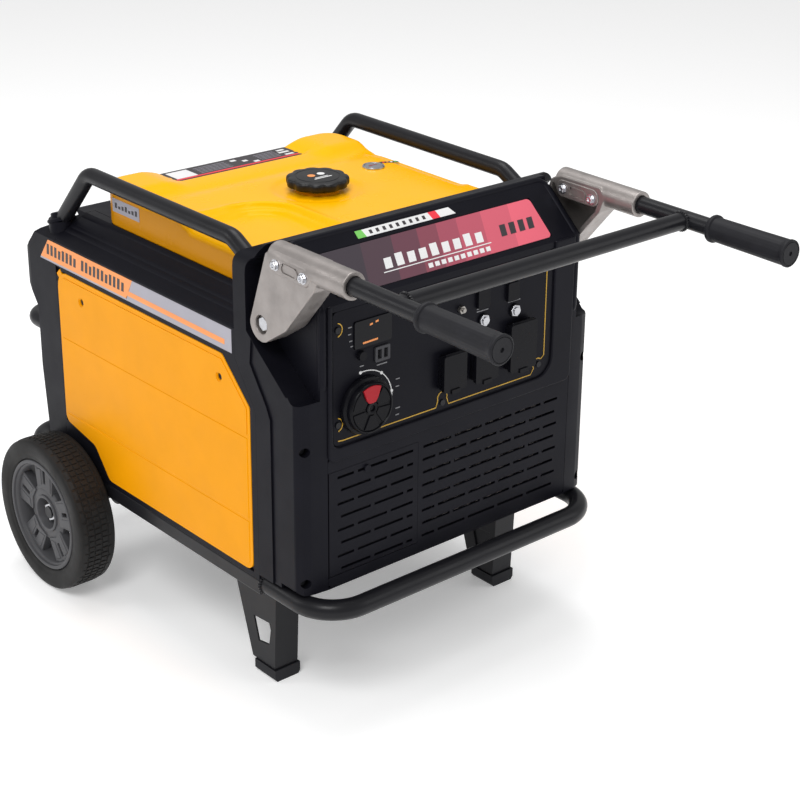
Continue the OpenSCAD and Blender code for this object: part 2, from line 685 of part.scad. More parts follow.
module bracket(s) color(cast) mirror([s < 0 ? 1 : 0, 0, 0]) difference() {
    union() {
        difference() {
            along_x(bracket_x[0], bracket_x[1]) polygon(bracket_outline);
            along_x(bracket_x[0] - 1, bracket_x[1] - 6)
                translate(bracket_mid * 0.14) scale(0.86) polygon(bracket_outline);
        }
        pin_x([pivot_y, pivot_z], 15, bracket_x[0] - 1.5, bracket_x[0] + 26.5);
        intersection() {
            pin_y([handle_x, handle_z], 19, sleeve_y[0], sleeve_y[1]);
            translate([240, -300, 600]) cube([60, 290, 200]);
        }
        along_x(bracket_x[1] - 1, bracket_x[1] + 3.5) polygon(concat(
            arc(clamp_bolts[0], 12, -90, 90), arc(clamp_bolts[1], 12, 90, 270)));
    }
    pin_y([handle_x, handle_z], handle_r + clear / 2, sleeve_y[1] - 204, sleeve_y[1] - 4);
    pin_x([pivot_y, pivot_z], 6 + clear / 2, 200, 300);
    pin_x([pivot_y, pivot_z], 13, bracket_x[1] - 10, bracket_x[1] + 10);
}
module handle_bracket_left() { bracket(-1); }
module handle_bracket_right() { bracket(1); }

// shoulder bolts of the fold joint
module pivot_bolts() color(zinc) both_sides() {
    pin_x([pivot_y, pivot_z], 6, pocket_x - 9, bracket_x[1] - 7);
    pin_x([pivot_y, pivot_z], 10, bracket_x[1] - 9.5, bracket_x[1] - 3.5, 6);
    pin_x([pivot_y, pivot_z], 11, pocket_x - wall - 6, pocket_x - wall);
}

module bracket_bolts() color(zinc) both_sides() for (p = clamp_bolts) difference() {
    pin_x(p, 7, bracket_x[1] + 3.5, bracket_x[1] + 8.5);
    pin_x(p, 4, bracket_x[1] + 5.5, bracket_x[1] + 10.5, 6);
}

module handle_tube() color(steel_black) difference() {
    union() {
        both_sides() pin_y([handle_x, handle_z], handle_r, grip_end_y + 6, sleeve_y[1] - 6);
        pin_x([cross_y, handle_z], handle_r, -handle_x, handle_x);
    }
    both_sides() pin_y([handle_x, handle_z], handle_r - 2, grip_end_y - 20, sleeve_y[1] - 5);
    pin_x([cross_y, handle_z], handle_r - 2, -handle_x, handle_x);
}

module grip(s) color(rubber) mirror([s < 0 ? 1 : 0, 0, 0]) difference() {
    at = [handle_x, handle_z];
    union() {
        pin_y(at, 16.5, grip_end_y, grip_end_y + grip_len);
        pin_y(at, 19.5, grip_end_y, grip_end_y + 8);
        pin_y(at, 20, grip_end_y + grip_len - 7, grip_end_y + grip_len);
    }
    pin_y(at, handle_r + clear / 2, grip_end_y + 5.9, grip_end_y + grip_len + 6);
    pin_y(at, 3, grip_end_y - 1, grip_end_y + 9);
}
module grip_left() { grip(-1); }
module grip_right() { grip(1); }

// ---------- inside ----------

crank = [30, 330]; // crankshaft line along Y, as [x, z]
module along_crank(y0, y1, r) { pin_y(crank, r, y0, y1); }

module engine_block() color("#8f9297") difference() {
    union() {
        translate([crank.x - 85, 262, 225]) cube([170, 130, 190]);
        along_crank(255, 400, 62);
        translate([crank.x - 100, 270, 215]) cube([200, 114, 20]);
    }
    along_crank(250, 410, 17);
}

module cylinder_head() color("#a5a8ac") translate([crank.x, 327, 415]) {
    for (i = [0:6]) translate([0, 0, i * 9]) cylinder(r = 58, h = 4);
    cylinder(r = 46, h = 64);
    translate([-46, -46, 60]) cube([92, 92, 34]);
}

outlet_at = [120, 362]; // exhaust outlet, as [x, z]

module muffler() color("#77706a") {
    difference() {
        union() {
            translate([70, 412, 318]) cube([140, 88, 88]);
            pin_y(outlet_at, 18, 499, rear_y + 14);
            pin_y(outlet_at, 31, rear_y - 3, rear_y + 1);
        }
        pin_y(outlet_at, 15.5, 470, 590);
    }
    translate([crank.x + 46, 370, 480]) cube([60, 30, 20]);
    translate([crank.x + 86, 370, 405]) cube([20, 45, 76]);
}

module air_cleaner() color("#1c1c1f") {
    translate([-215, 270, 380]) cube([110, 130, 110]);
    translate([-106, 312, 476]) cube([crank.x - 46 + 106, 30, 14]);
}

module stator() color("#b5713c") difference() {
    along_crank(140, 200, 95);
    along_crank(130, 210, 70);
}

module crankshaft() color("#9a9ea3") {
    along_crank(112, 410, 16.9);
    along_crank(145, 195, 69);
    along_crank(112, 120, 92);
}

module inverter_module() color("#9b9fa6") difference() {
    translate([-60, -92, 222]) cube([270, 60, 165]);
    for (i = [0:11]) translate([-52 + i * 22, -93, 221]) cube([12, 40, 167]);
}

module battery() color("#202226") {
    translate([-214, -98, 212]) cube([140, 72, 132]);
    for (x = [-196, -108]) translate([x, -70, 343]) cylinder(r = 7, h = 12);
}

module engine_mounts() color(rubber) for (x = [-55, 115], y = [285, 370])
    translate([x, y, panel_z0 + 2.5]) cylinder(r = 17, h = 215 - panel_z0 - 2.5);

// ---------- drawing, with the origin under the middle of the whole machine ----------

module placed() { translate([0, -origin_y, 0]) children(); }

placed() base_frame();
placed() front_bumper();
placed() rear_bumper();
placed() rear_handle();
placed() leg_left();
placed() leg_right();
placed() rubber_feet();
placed() axle();
placed() axle_nuts();
placed() front_cap();
placed() rear_cap();
placed() rear_louvre();
placed() side_panel_left();
placed() side_panel_right();
placed() lifting_rail_left();
placed() lifting_rail_right();
placed() belly_pan();
placed() fuel_tank();
placed() fuel_gauge();
placed() control_panel();
placed() display_window();
placed() usb_port();
placed() socket_bodies();
placed() breaker_bodies();
placed() earth_terminal();
placed() front_grille();
placed() nameplate();
placed() cap_screws();
placed() pivot_bolts();
placed() engine_block();
placed() cylinder_head();
placed() muffler();
placed() air_cleaner();
placed() stator();
placed() crankshaft();
placed() inverter_module();
placed() battery();
placed() engine_mounts();
placed() tyre_left();
placed() rim_left();
placed() tyre_right();
placed() rim_right();
placed() handle_tube();
placed() handle_bracket_left();
placed() handle_bracket_right();
placed() bracket_bolts();
placed() grip_left();
placed() grip_right();
placed() fuel_cap();
placed() fuel_cap_seal();
placed() engine_dial();
placed() start_button();
placed() socket_lid_1();
placed() socket_lid_2();
placed() socket_lid_3();
placed() breaker_button_1();
placed() breaker_button_2();
placed() battery_door();
placed() service_cover_left();
placed() service_cover_right();
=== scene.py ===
"""Looks of the wheeled inverter generator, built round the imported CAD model."""

import math

import bmesh
import bpy
from mathutils import Euler, Matrix, Vector


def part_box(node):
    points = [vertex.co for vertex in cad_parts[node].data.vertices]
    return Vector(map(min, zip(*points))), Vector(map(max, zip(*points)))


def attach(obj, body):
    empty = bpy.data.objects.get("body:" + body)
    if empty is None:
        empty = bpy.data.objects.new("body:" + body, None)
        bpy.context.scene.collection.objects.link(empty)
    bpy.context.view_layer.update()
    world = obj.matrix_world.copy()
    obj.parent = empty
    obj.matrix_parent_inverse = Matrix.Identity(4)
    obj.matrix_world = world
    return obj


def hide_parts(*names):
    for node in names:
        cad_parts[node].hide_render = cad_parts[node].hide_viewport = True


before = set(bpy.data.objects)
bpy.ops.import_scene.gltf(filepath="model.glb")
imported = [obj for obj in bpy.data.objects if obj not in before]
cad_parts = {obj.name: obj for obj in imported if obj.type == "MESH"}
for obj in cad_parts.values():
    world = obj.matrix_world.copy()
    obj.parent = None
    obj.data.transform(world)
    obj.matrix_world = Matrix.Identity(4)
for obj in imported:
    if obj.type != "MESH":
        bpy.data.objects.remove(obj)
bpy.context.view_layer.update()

# ---- places ----
# at() takes millimetres, with y counted from the front corner of the front legs, as on the drawings;
# everything is placed from the axle, which stands 470 mm behind that corner.

AXLE_BACK = 470
axle_lo, axle_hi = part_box("axle")
Y_SHIFT = (axle_lo.y + axle_hi.y) / 2 * 1000 - AXLE_BACK
SAME_POINT = 0.00001  # metres


def at(x, y, z):
    return Vector((x, y + Y_SHIFT, z)) / 1000


FRONT = -118  # plane of the control panel and the grille
HALF = 280  # half width of the body
SIDES = ((-1, "left"), (1, "right"))

# ---- materials ----


class Nodes:
    """A material with a principled shader, and short calls to put nodes in front of it."""

    def __init__(self, name, color, rough, metallic=0.0, specular=0.5):
        self.name = name
        self.mat = bpy.data.materials.new(name)
        self.mat.use_nodes = True
        self.tree = self.mat.node_tree
        self.shader = self.tree.nodes["Principled BSDF"]
        self.put(self.shader, {"Base Color": (*color, 1), "Roughness": rough, "Metallic": metallic,
                               "Specular IOR Level": specular})
        self.coords = self.add("ShaderNodeTexCoord").outputs["Object"]
        self.color, self.rough = color, rough
        self.normal = None

    def put(self, node, values):
        for key, value in values.items():
            node.inputs[key].default_value = value

    def add(self, kind, **values):
        node = self.tree.nodes.new(kind)
        self.put(node, values)
        return node

    def link(self, a, b):
        self.tree.links.new(a, b)

    def noise(self, scale, detail):
        node = self.add("ShaderNodeTexNoise", Scale=scale, Detail=detail, Roughness=0.55)
        self.link(self.coords, node.inputs["Vector"])
        return node.outputs["Fac"]

    def spread(self, value, low, high, from_low=0.3, from_high=0.7):
        node = self.add("ShaderNodeMapRange")
        self.put(node, {"From Min": from_low, "From Max": from_high, "To Min": low, "To Max": high})
        self.link(value, node.inputs["Value"])
        return node.outputs["Result"]

    def mix(self, factor, a, b):
        node = self.add("ShaderNodeMix")
        node.data_type = "RGBA"
        self.put(node, {6: (*a, 1), 7: (*b, 1)})
        self.link(factor, node.inputs[0])
        return node.outputs[2]

    def mottle(self, amount, scale=14):
        """Slight patches of lighter and darker colour."""
        dark = tuple(c * (1 - amount) for c in self.color)
        light = tuple(min(1, c * (1 + amount)) for c in self.color)
        patches = self.spread(self.noise(scale, 4), 0, 1)
        self.link(self.mix(patches, dark, light), self.shader.inputs["Base Color"])
        return self

    def patchy_gloss(self, amount, scale=22):
        value = self.spread(self.noise(scale, 3), self.rough - amount, self.rough + amount)
        self.link(value, self.shader.inputs["Roughness"])
        return self

    def grain(self, scale, strength, distance):
        """Fine relief; a second call adds to the first."""
        node = self.add("ShaderNodeBump", Strength=strength, Distance=distance)
        self.link(self.noise(scale, 2), node.inputs["Height"])
        if self.normal:
            self.link(self.normal, node.inputs["Normal"])
        self.normal = node.outputs["Normal"]
        self.link(self.normal, self.shader.inputs["Normal"])
        return self

    def tint(self, color):
        self.put(self.shader, {"Specular Tint": (*color, 1)})
        return self


def moulded(name, color, rough, grain=0.3, mottle=0.06, specular=0.17, tint=(1, 1, 1)):
    """Injection moulding: fine spark-eroded grain, slight mottling and uneven gloss."""
    m = Nodes(name, color, rough, specular=specular).mottle(mottle).patchy_gloss(0.05).tint(tint)
    return m.grain(2600, grain, 0.00006).grain(60, 0.08, 0.0003)


def tank_material():
    """Bright yellow on top and deeper orange down the walls, as the light falls off there."""
    yellow, orange = (0.95, 0.45, 0.0008), (0.62, 0.25, 0.0008)
    m = Nodes("yellow_tank", yellow, 0.24, specular=0.15).patchy_gloss(0.05).tint((1, 0.7, 0.12))
    axes = m.add("ShaderNodeSeparateXYZ")
    m.link(m.add("ShaderNodeNewGeometry").outputs["Normal"], axes.inputs[0])
    up = m.spread(axes.outputs["Z"], 0, 1, 0.1, 0.75)
    m.link(m.mix(up, orange, yellow), m.shader.inputs["Base Color"])
    return m.grain(2600, 0.12, 0.00006).grain(60, 0.08, 0.0003)


def banner_material():
    """Printed film in slanted blocks that run from dark grey on the left to coral red on the right."""
    m = Nodes("banner_film", (0.7, 0.1, 0.15), 0.34, specular=0.3)
    axes = m.add("ShaderNodeSeparateXYZ")
    m.link(m.coords, axes.inputs[0])
    slant = m.add("ShaderNodeMath")
    slant.operation = "MULTIPLY_ADD"
    m.link(axes.outputs["Y"], slant.inputs[0])
    slant.inputs[1].default_value = -0.45
    m.link(axes.outputs["X"], slant.inputs[2])
    along = m.spread(slant.outputs[0], 0, 1, -0.16, 0.3)
    ramp_node = m.add("ShaderNodeValToRGB")
    ramp_node.color_ramp.interpolation = "CONSTANT"
    stops = [(0.0, (0.05, 0.04, 0.05)), (0.2, (0.075, 0.045, 0.058)), (0.32, (0.13, 0.05, 0.07)),
             (0.42, (0.22, 0.06, 0.085)), (0.5, (0.34, 0.075, 0.11)), (0.58, (0.46, 0.09, 0.13)),
             (0.68, (0.6, 0.11, 0.155)), (0.8, (0.74, 0.13, 0.18))]
    elements = ramp_node.color_ramp.elements
    for i, (place, color) in enumerate(stops):
        stop = elements[i] if i < 2 else elements.new(place)
        stop.position = place
        stop.color = (*color, 1)
    m.link(along, ramp_node.inputs[0])
    m.link(ramp_node.outputs[0], m.shader.inputs["Base Color"])
    return m.grain(1200, 0.06, 0.0001)


BLUISH = (0.9, 0.9, 1)
MATERIALS = {m.name: m.mat for m in (
    moulded("black_moulding", (0.0056, 0.0056, 0.0086), 0.4, 0.35, 0.12, 0.1, BLUISH),
    moulded("panel_face", (0.0048, 0.0048, 0.0074), 0.36, 0.2, 0.06, 0.09, BLUISH),
    moulded("switch_black", (0.0042, 0.0042, 0.006), 0.3, 0.1, 0.06, 0.11),
    moulded("yellow_cover", (0.83, 0.325, 0.0015), 0.36, 0.16, 0.03, 0.12, (1, 0.6, 0.14)),
    moulded("cap_plastic", (0.005, 0.005, 0.006), 0.4, 0.4, 0.1, 0.35),
    moulded("gauge_plastic", (0.2, 0.2, 0.21), 0.35),
    moulded("rim_plastic", (0.07, 0.07, 0.075), 0.42, 0.3, 0.1),
    moulded("battery_case", (0.02, 0.02, 0.024), 0.5),
    moulded("dark_grey", (0.05, 0.05, 0.056), 0.4),
    moulded("red_plastic", (0.36, 0.012, 0.02), 0.34, 0.15),
    Nodes("powder_coat", (0.009, 0.009, 0.0112), 0.34, specular=0.22).mottle(0.1).patchy_gloss(0.05)
    .grain(900, 0.25, 0.00012).grain(3200, 0.2, 0.00005),
    Nodes("rubber", (0.0115, 0.0115, 0.0145), 0.52, specular=0.2).mottle(0.15, 40).grain(1800, 0.4, 0.0001),
    Nodes("tyre", (0.0115, 0.0112, 0.0112), 0.62, specular=0.25).mottle(0.25, 30).patchy_gloss(0.08)
    .grain(700, 0.35, 0.0002),
    Nodes("zinc", (0.5, 0.505, 0.53), 0.27, 1.0).mottle(0.08, 90).patchy_gloss(0.1, 120)
    .grain(900, 0.2, 0.00008),
    Nodes("cast_aluminium", (0.31, 0.284, 0.272), 0.42, 0.75).mottle(0.12, 26).patchy_gloss(0.09, 60)
    .grain(1500, 0.5, 0.00012).grain(180, 0.25, 0.0003),
    Nodes("steel", (0.36, 0.34, 0.32), 0.4, 1.0).mottle(0.2, 30).patchy_gloss(0.12),
    Nodes("copper", (0.6, 0.27, 0.12), 0.35, 1.0).mottle(0.2, 60),
    Nodes("display_glass", (0.004, 0.004, 0.006), 0.16, specular=0.16).patchy_gloss(0.03),
    Nodes("white_print", (0.72, 0.72, 0.72), 0.5, specular=0.2).mottle(0.05),
    Nodes("faint_print", (0.2, 0.2, 0.21), 0.5, specular=0.2).mottle(0.1, 80),
    Nodes("grey_print", (0.36, 0.35, 0.4), 0.42).mottle(0.05),
    Nodes("yellow_print", (0.5, 0.29, 0.015), 0.45).mottle(0.08, 80),
    Nodes("orange_print", (0.86, 0.3, 0.075), 0.4).mottle(0.05),
    Nodes("green_print", (0.16, 0.5, 0.1), 0.4).mottle(0.08),
    Nodes("red_print", (0.75, 0.03, 0.05), 0.4).mottle(0.08),
    Nodes("dark_print", (0.03, 0.025, 0.03), 0.45).mottle(0.08),
    banner_material(),
    tank_material(),
)}

# ---- mesh helpers ----


def add_object(name, data):
    thing = bpy.data.objects.new(name, data)
    bpy.context.scene.collection.objects.link(thing)
    return thing


def show(name, mesh, material, body="root", replaces=()):
    """Links a mesh as a piece that rides on a body."""
    piece = add_object(name, mesh)
    mesh.materials.clear()
    mesh.materials.append(MATERIALS[material])
    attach(piece, body)
    if replaces:
        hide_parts(*replaces)
    return piece


def from_bmesh(name, bm, material, body="root", slot=None, replaces=(), smooth=35):
    """Makes a piece of a bmesh, with edges sharper than smooth degrees left sharp."""
    bmesh.ops.recalc_face_normals(bm, faces=bm.faces)
    mesh = bpy.data.meshes.new(name)
    bm.to_mesh(mesh)
    bm.free()
    mesh.shade_smooth()
    mesh.set_sharp_from_angle(angle=math.radians(smooth))
    return show(name, mesh, material, body, replaces)


def soften(piece, width, segments=3, angle=32):
    """Rounds the sharp edges of a piece by width millimetres."""
    bevel = piece.modifiers.new("edges", "BEVEL")
    bevel.width = width / 1000
    bevel.segments = segments
    bevel.limit_method = "ANGLE"
    bevel.angle_limit = math.radians(angle)
    bevel.harden_normals = True
    return piece


def baked(work):
    """The mesh of an object with its modifiers applied."""
    bpy.context.view_layer.update()
    return bpy.data.meshes.new_from_object(work.evaluated_get(bpy.context.evaluated_depsgraph_get()))


def arc(cx, cy, r, a0, a1, n=6):
    """Points on an arc, angles in degrees."""
    turn = [math.radians(a0 + (a1 - a0) * i / n) for i in range(n + 1)]
    return [(cx + r * math.cos(t), cy + r * math.sin(t)) for t in turn]


def disc(cx, cy, r, n):
    return arc(cx, cy, r, 0, 360, n)[:-1]


def rect(x0, y0, x1, y1):
    return [(x0, y0), (x1, y0), (x1, y1), (x0, y1)]


def round_rect(x0, y0, x1, y1, r):
    return (arc(x1 - r, y1 - r, r, 0, 90) + arc(x0 + r, y1 - r, r, 90, 180)
            + arc(x0 + r, y0 + r, r, 180, 270) + arc(x1 - r, y0 + r, r, 270, 360))


def slanted(x, low, wide, high, lean):
    """A bar that leans over sideways by lean."""
    return [(x, low), (x + wide, low), (x + wide + lean, high), (x + lean, high)]


def join_rings(bm, a, b):
    """Faces between two closed rings of vertices."""
    n = len(a)
    for k in range(n):
        bm.faces.new([a[k], a[(k + 1) % n], b[(k + 1) % n], b[k]])


def join_stack(bm, rings):
    """Skin over a stack of closed rings, with both ends shut."""
    for a, b in zip(rings, rings[1:]):
        join_rings(bm, a, b)
    bm.faces.new(rings[0][::-1])
    bm.faces.new(rings[-1])


def join_turned(bm, profiles):
    """Skin over open profiles that stand side by side all round an axis."""
    for i, here in enumerate(profiles):
        following = profiles[(i + 1) % len(profiles)]
        for j in range(len(here) - 1):
            bm.faces.new([here[j], following[j], following[j + 1], here[j + 1]])


def add_prism(bm, outline, place, low, high):
    """Extrudes a closed outline; place(u, v, w) gives the point for outline (u, v) at depth w."""
    join_stack(bm, [[bm.verts.new(place(u, v, w)) for u, v in outline] for w in (low, high)])


def face_x(side):
    """Outline in (y, z), depth along x; side is 1 for the right of the machine and -1 for the left."""
    return lambda u, v, w: at(side * w, u, v)


def on_panel(u, v, w):
    """Outline in (x, z) on the front, depth forwards from the control panel."""
    return at(u, FRONT - w, v)


def prisms(name, outlines, place, low, high, material, body="root", round_edges=0.0, **more):
    """One piece made of several prisms of the same depth."""
    bm = bmesh.new()
    for outline in outlines:
        add_prism(bm, outline, place, low, high)
    piece = from_bmesh(name, bm, material, body, **more)
    return soften(piece, round_edges) if round_edges else piece


def prism(name, outline, *shape, **more):
    return prisms(name, [outline], *shape, **more)


def round_axis(axis):
    """The unit vector along an axis, and a call for the one across it at an angle in radians."""
    along = Vector(axis).normalized()
    side = along.orthogonal().normalized()
    other = along.cross(side)
    return along, lambda a: side * math.cos(a) + other * math.sin(a)


def add_lathe(bm, profile, centre, axis, steps=64):
    """Turns (radius, height) points round an axis through centre; heights run along the axis."""
    along, across = round_axis(axis)
    rings = []
    for i in range(steps):
        out = across(math.radians(360 * i / steps))
        rings.append([bm.verts.new(centre + (out * r + along * h) / 1000) for r, h in profile])
    join_turned(bm, rings)
    bmesh.ops.remove_doubles(bm, verts=[v for ring in rings for v in ring], dist=1e-7)


def lathe(name, profile, centre, axis, material, body="root", steps=64, **more):
    bm = bmesh.new()
    add_lathe(bm, profile, centre, axis, steps)
    return from_bmesh(name, bm, material, body, **more)


def bent_path(points, bend):
    """Millimetre points with each corner replaced by an arc of radius bend."""
    points = [Vector(p) for p in points]
    path = [points[0]]
    for before, here, after in zip(points, points[1:], points[2:]):
        d1, d2 = (here - before).normalized(), (after - here).normalized()
        angle = d1.angle(d2)
        cut_back = bend * math.tan(angle / 2)
        axis = d1.cross(d2).normalized()
        centre = here - d1 * cut_back + axis.cross(d1) * bend
        spoke = here - d1 * cut_back - centre
        n = max(4, int(math.degrees(angle) / 6))
        path += [centre + Matrix.Rotation(angle * i / n, 3, axis) @ spoke for i in range(n + 1)]
    return path + [points[-1]]


def add_tube(bm, path, r, sides=32):
    """Sweeps a circle of r millimetres along millimetre points."""
    rings, last = [], None
    for i, p in enumerate(path):
        ahead = (path[min(i + 1, len(path) - 1)] - path[max(i - 1, 0)]).normalized()
        if last is None:
            up = ahead.orthogonal().normalized()
        else:
            up = (last - ahead * last.dot(ahead)).normalized()
        last, side = up, ahead.cross(up)
        angles = [2 * math.pi * k / sides for k in range(sides)]
        rings.append([bm.verts.new(at(*(p + (up * math.cos(a) + side * math.sin(a)) * r))) for a in angles])
    join_stack(bm, rings)


def tube(name, points, bend, r, node):
    """A bent steel tube in place of a CAD node."""
    bm = bmesh.new()
    add_tube(bm, bent_path(points, bend), r)
    from_bmesh(name, bm, "powder_coat", replaces=(node,))


def ribbon(name, path, width, material="yellow_print", place=on_panel, high=0.5, **more):
    """A line of constant width along points on a face."""
    left, right = [], []
    for i, p in enumerate(path):
        a, b = Vector(path[max(i - 1, 0)]), Vector(path[min(i + 1, len(path) - 1)])
        out = (b - a).normalized().orthogonal() * width / 2
        left.append(tuple(Vector(p) + out))
        right.append(tuple(Vector(p) - out))
    bm = bmesh.new()
    for i in range(len(path) - 1):
        add_prism(bm, [left[i], left[i + 1], right[i + 1], right[i]], place, 0, high)
    bmesh.ops.remove_doubles(bm, verts=bm.verts, dist=1e-7)
    return from_bmesh(name, bm, material, **more)


def cut(piece, cutter_bm):
    """Cuts the shapes in cutter_bm out of a piece."""
    bmesh.ops.recalc_face_normals(cutter_bm, faces=cutter_bm.faces)
    mesh = bpy.data.meshes.new("cutter")
    cutter_bm.to_mesh(mesh)
    cutter_bm.free()
    tool = add_object("cutter", mesh)
    modifier = piece.modifiers.new("cut", "BOOLEAN")
    modifier.object = tool
    modifier.operation = "DIFFERENCE"
    modifier.solver = "EXACT"
    result = baked(piece)
    piece.modifiers.remove(modifier)
    old = piece.data
    name = old.name
    piece.data = result
    bpy.data.meshes.remove(old)
    result.name = name
    bpy.data.objects.remove(tool)
    bpy.data.meshes.remove(mesh)


def add_weld(piece):
    weld = piece.modifiers.new("weld", "WELD")
    weld.merge_threshold = SAME_POINT


def keep_cad(node, material, edge):
    """A CAD node stays as it is, with its material and slightly rounded edges."""
    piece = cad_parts[node]
    piece.data.materials.clear()
    piece.data.materials.append(MATERIALS[material])
    if edge:
        add_weld(piece)
        soften(piece, edge, 2, 40)


# ---- camera, light and floor ----


def camera():
    data = bpy.data.cameras.new("camera")
    cam = add_object("camera", data)
    bpy.context.scene.camera = cam
    azimuth, elevation, roll = 42.84, 22.64, 1.34  # degrees, looking from the front left
    turn = Euler((math.radians(90 - elevation), 0, math.radians(-azimuth))).to_matrix()
    cam.matrix_world = Matrix.Translation(at(-1636.6, -1899.1, 1506.6)) @ (
        turn @ Matrix.Rotation(math.radians(roll), 3, "Z")).to_4x4()
    data.sensor_width = 36
    data.lens = 83.43
    data.shift_x, data.shift_y = -0.0798, -0.0557
    data.clip_end = 60


def studio():
    bpy.context.scene.view_settings.view_transform = "Standard"
    bm = bmesh.new()
    bmesh.ops.create_grid(bm, x_segments=1, y_segments=1, size=14)
    floor = bpy.data.meshes.new("floor")
    bm.to_mesh(floor)
    bm.free()
    white = Nodes("floor_white", (0.94, 0.94, 0.94), 0.8, specular=0.2)
    white.put(white.shader, {"Emission Color": (1, 1, 1, 1), "Emission Strength": 0.26})
    floor.materials.append(white.mat)
    add_object("floor", floor)
    world = bpy.data.worlds.new("world")
    world.use_nodes = True
    white.put(world.node_tree.nodes["Background"], {"Color": (1, 1, 1, 1), "Strength": 0.52})
    bpy.context.scene.world = world
    lamps = [("key", (-2.4, -1.6, 3.6), 1.5, 72), ("fill", (2.8, -3.0, 2.2), 2.4, 24),
             ("top", (0.4, 0.8, 3.6), 1.8, 50), ("rim", (-3.2, 2.4, 2.4), 1.4, 22)]
    for name, place, size, watts in lamps:
        light = bpy.data.lights.new(name, "AREA")
        light.size = size
        light.energy = watts
        lamp = add_object(name, light)
        lamp.location = place
        lamp.rotation_euler = (Vector((0, 0, 0.35)) - Vector(place)).to_track_quat("-Z", "Y").to_euler()


camera()
studio()

# ---- frame tubes ----

RAIL_X, BUMPER_Z, BUMPER_R = 265, 186, 15
BAR_X, BAR_Z = 255, 398  # rear lifting bar
LIFT_X = 252  # the two lifting tubes
TUBE_R = 12.5


def weld_bead(name, centre, axis, r, bead, body="root"):
    """A ring of weld round a tube, with a ripple for each pass of the torch."""
    ripples, around = 26, 8
    steps = ripples * 4
    along, across = round_axis(axis)
    bm = bmesh.new()
    rings = []
    for i in range(steps):
        a = 2 * math.pi * i / steps
        out, size = across(a), bead * (1 + 0.18 * math.cos(a * ripples))
        angles = [2 * math.pi * k / around for k in range(around)]
        spots = [out * (r + size * math.cos(b)) + along * size * math.sin(b) for b in angles]
        rings.append([bm.verts.new(centre + spot / 1000) for spot in spots])
    for i in range(steps):
        join_rings(bm, rings[i], rings[(i + 1) % steps])
    from_bmesh(name, bm, "powder_coat", body)


def loop_tube(name, node, half, z, start, end, bend, r):
    """A tube that runs out from the body at y = start, across at y = end and back."""
    tube(name, [(-half, start, z), (-half, end, z), (half, end, z), (half, start, z)], bend, r, node)


def tubes():
    loop_tube("bumper_front", "front_bumper", RAIL_X, BUMPER_Z, -22, -155, 62, BUMPER_R)
    loop_tube("bumper_rear", "rear_bumper", RAIL_X, BUMPER_Z, 560, 625, 40, BUMPER_R)
    loop_tube("lifting_bar_rear", "rear_handle", BAR_X, BAR_Z, 552, 628, 34, TUBE_R)
    foot = [(0, 0), (21, 0), (22, 1), (22, 4), (20, 6), (15.5, 7), (14.5, 14), (12.6, 15), (0, 15)]
    for side, name in SIDES:
        x = side * LIFT_X
        tube(f"lifting_tube_{name}", [(x, 6, 652), (x, 60, 681), (x, 424, 681), (x, 513, 583)], 34, TUBE_R,
             f"lifting_rail_{name}")
        # flange ring at the foot of the tube on the rear cap
        lathe(f"tube_foot_{name}", foot, at(x, 511, 586), (0, 0.35, 1), "black_moulding", steps=48)
        weld_bead(f"bumper_weld_{name}", at(side * RAIL_X, -22, BUMPER_Z), (0, 1, 0), 15.2, 2.6)
        weld_bead(f"bar_weld_{name}", at(side * BAR_X, 553, BAR_Z), (0, 1, 0), 12.6, 2.2)


tubes()

# ---- fuel tank, gauge and cap ----

TANK_LO, TANK_HI = (-222, -5), (222, 441)
TANK_FOOT, TANK_TOP = 598, 656
TANK_EDGE = 11  # radius between the top and the walls
CAP = (21, 222)
GAUGE = (158, 255)
LEDGE_Z = TANK_TOP + 9 * 0.1 - 4 + 0.2  # just above the ledge at the rear of the tank


def ramp(v, low, high):
    """0 below low, 1 above high and a smooth rise between."""
    t = min(1.0, max(0.0, (v - low) / (high - low)))
    return t * t * (3 - 2 * t)


def tank_height(x, y):
    z = TANK_TOP
    # raised band along the rear, with a sunk ledge for the label between two shoulders
    band = ramp(y, 338, 368)
    ledge = ramp(y, 376, 386) * ramp(132 - abs(x), 0, 14) * ramp(440 - y, -2, 6)
    shoulders = 1 - 0.9 * ramp(160 - abs(x), 0, 45)
    z += 9 * band * shoulders - 4 * ledge
    # shallow trough in front of the band
    z -= 2.5 * math.exp(-((y - 326) / 13) ** 2)
    # scoop at the front left, inside an arched double ridge
    corner = (-128, 163)
    dx, dy = max(0, x - corner[0]), max(0, y - corner[1])
    inside = 68 - math.hypot(dx, dy) if dx or dy else 68 - min(0, max(x - corner[0], y - corner[1])) * 0.3
    z -= 5.5 * ramp(inside, 0, 6) + 6.5 * ramp(inside, 12, 22)
    z += 2.2 * math.exp(-((inside + 3.5) / 3.5) ** 2)
    # dish round the filler and a step down along the right edge
    z -= 2.2 * ramp(74 - math.hypot(x - CAP[0], y - CAP[1]), 0, 14)
    z -= 3.5 * ramp(x, 196, 206) * ramp(y, 98, 112) * ramp(330 - y, 0, 14)
    # crowned towards the front corners
    return z - 3 * ramp(40 - y, 0, 45) ** 2


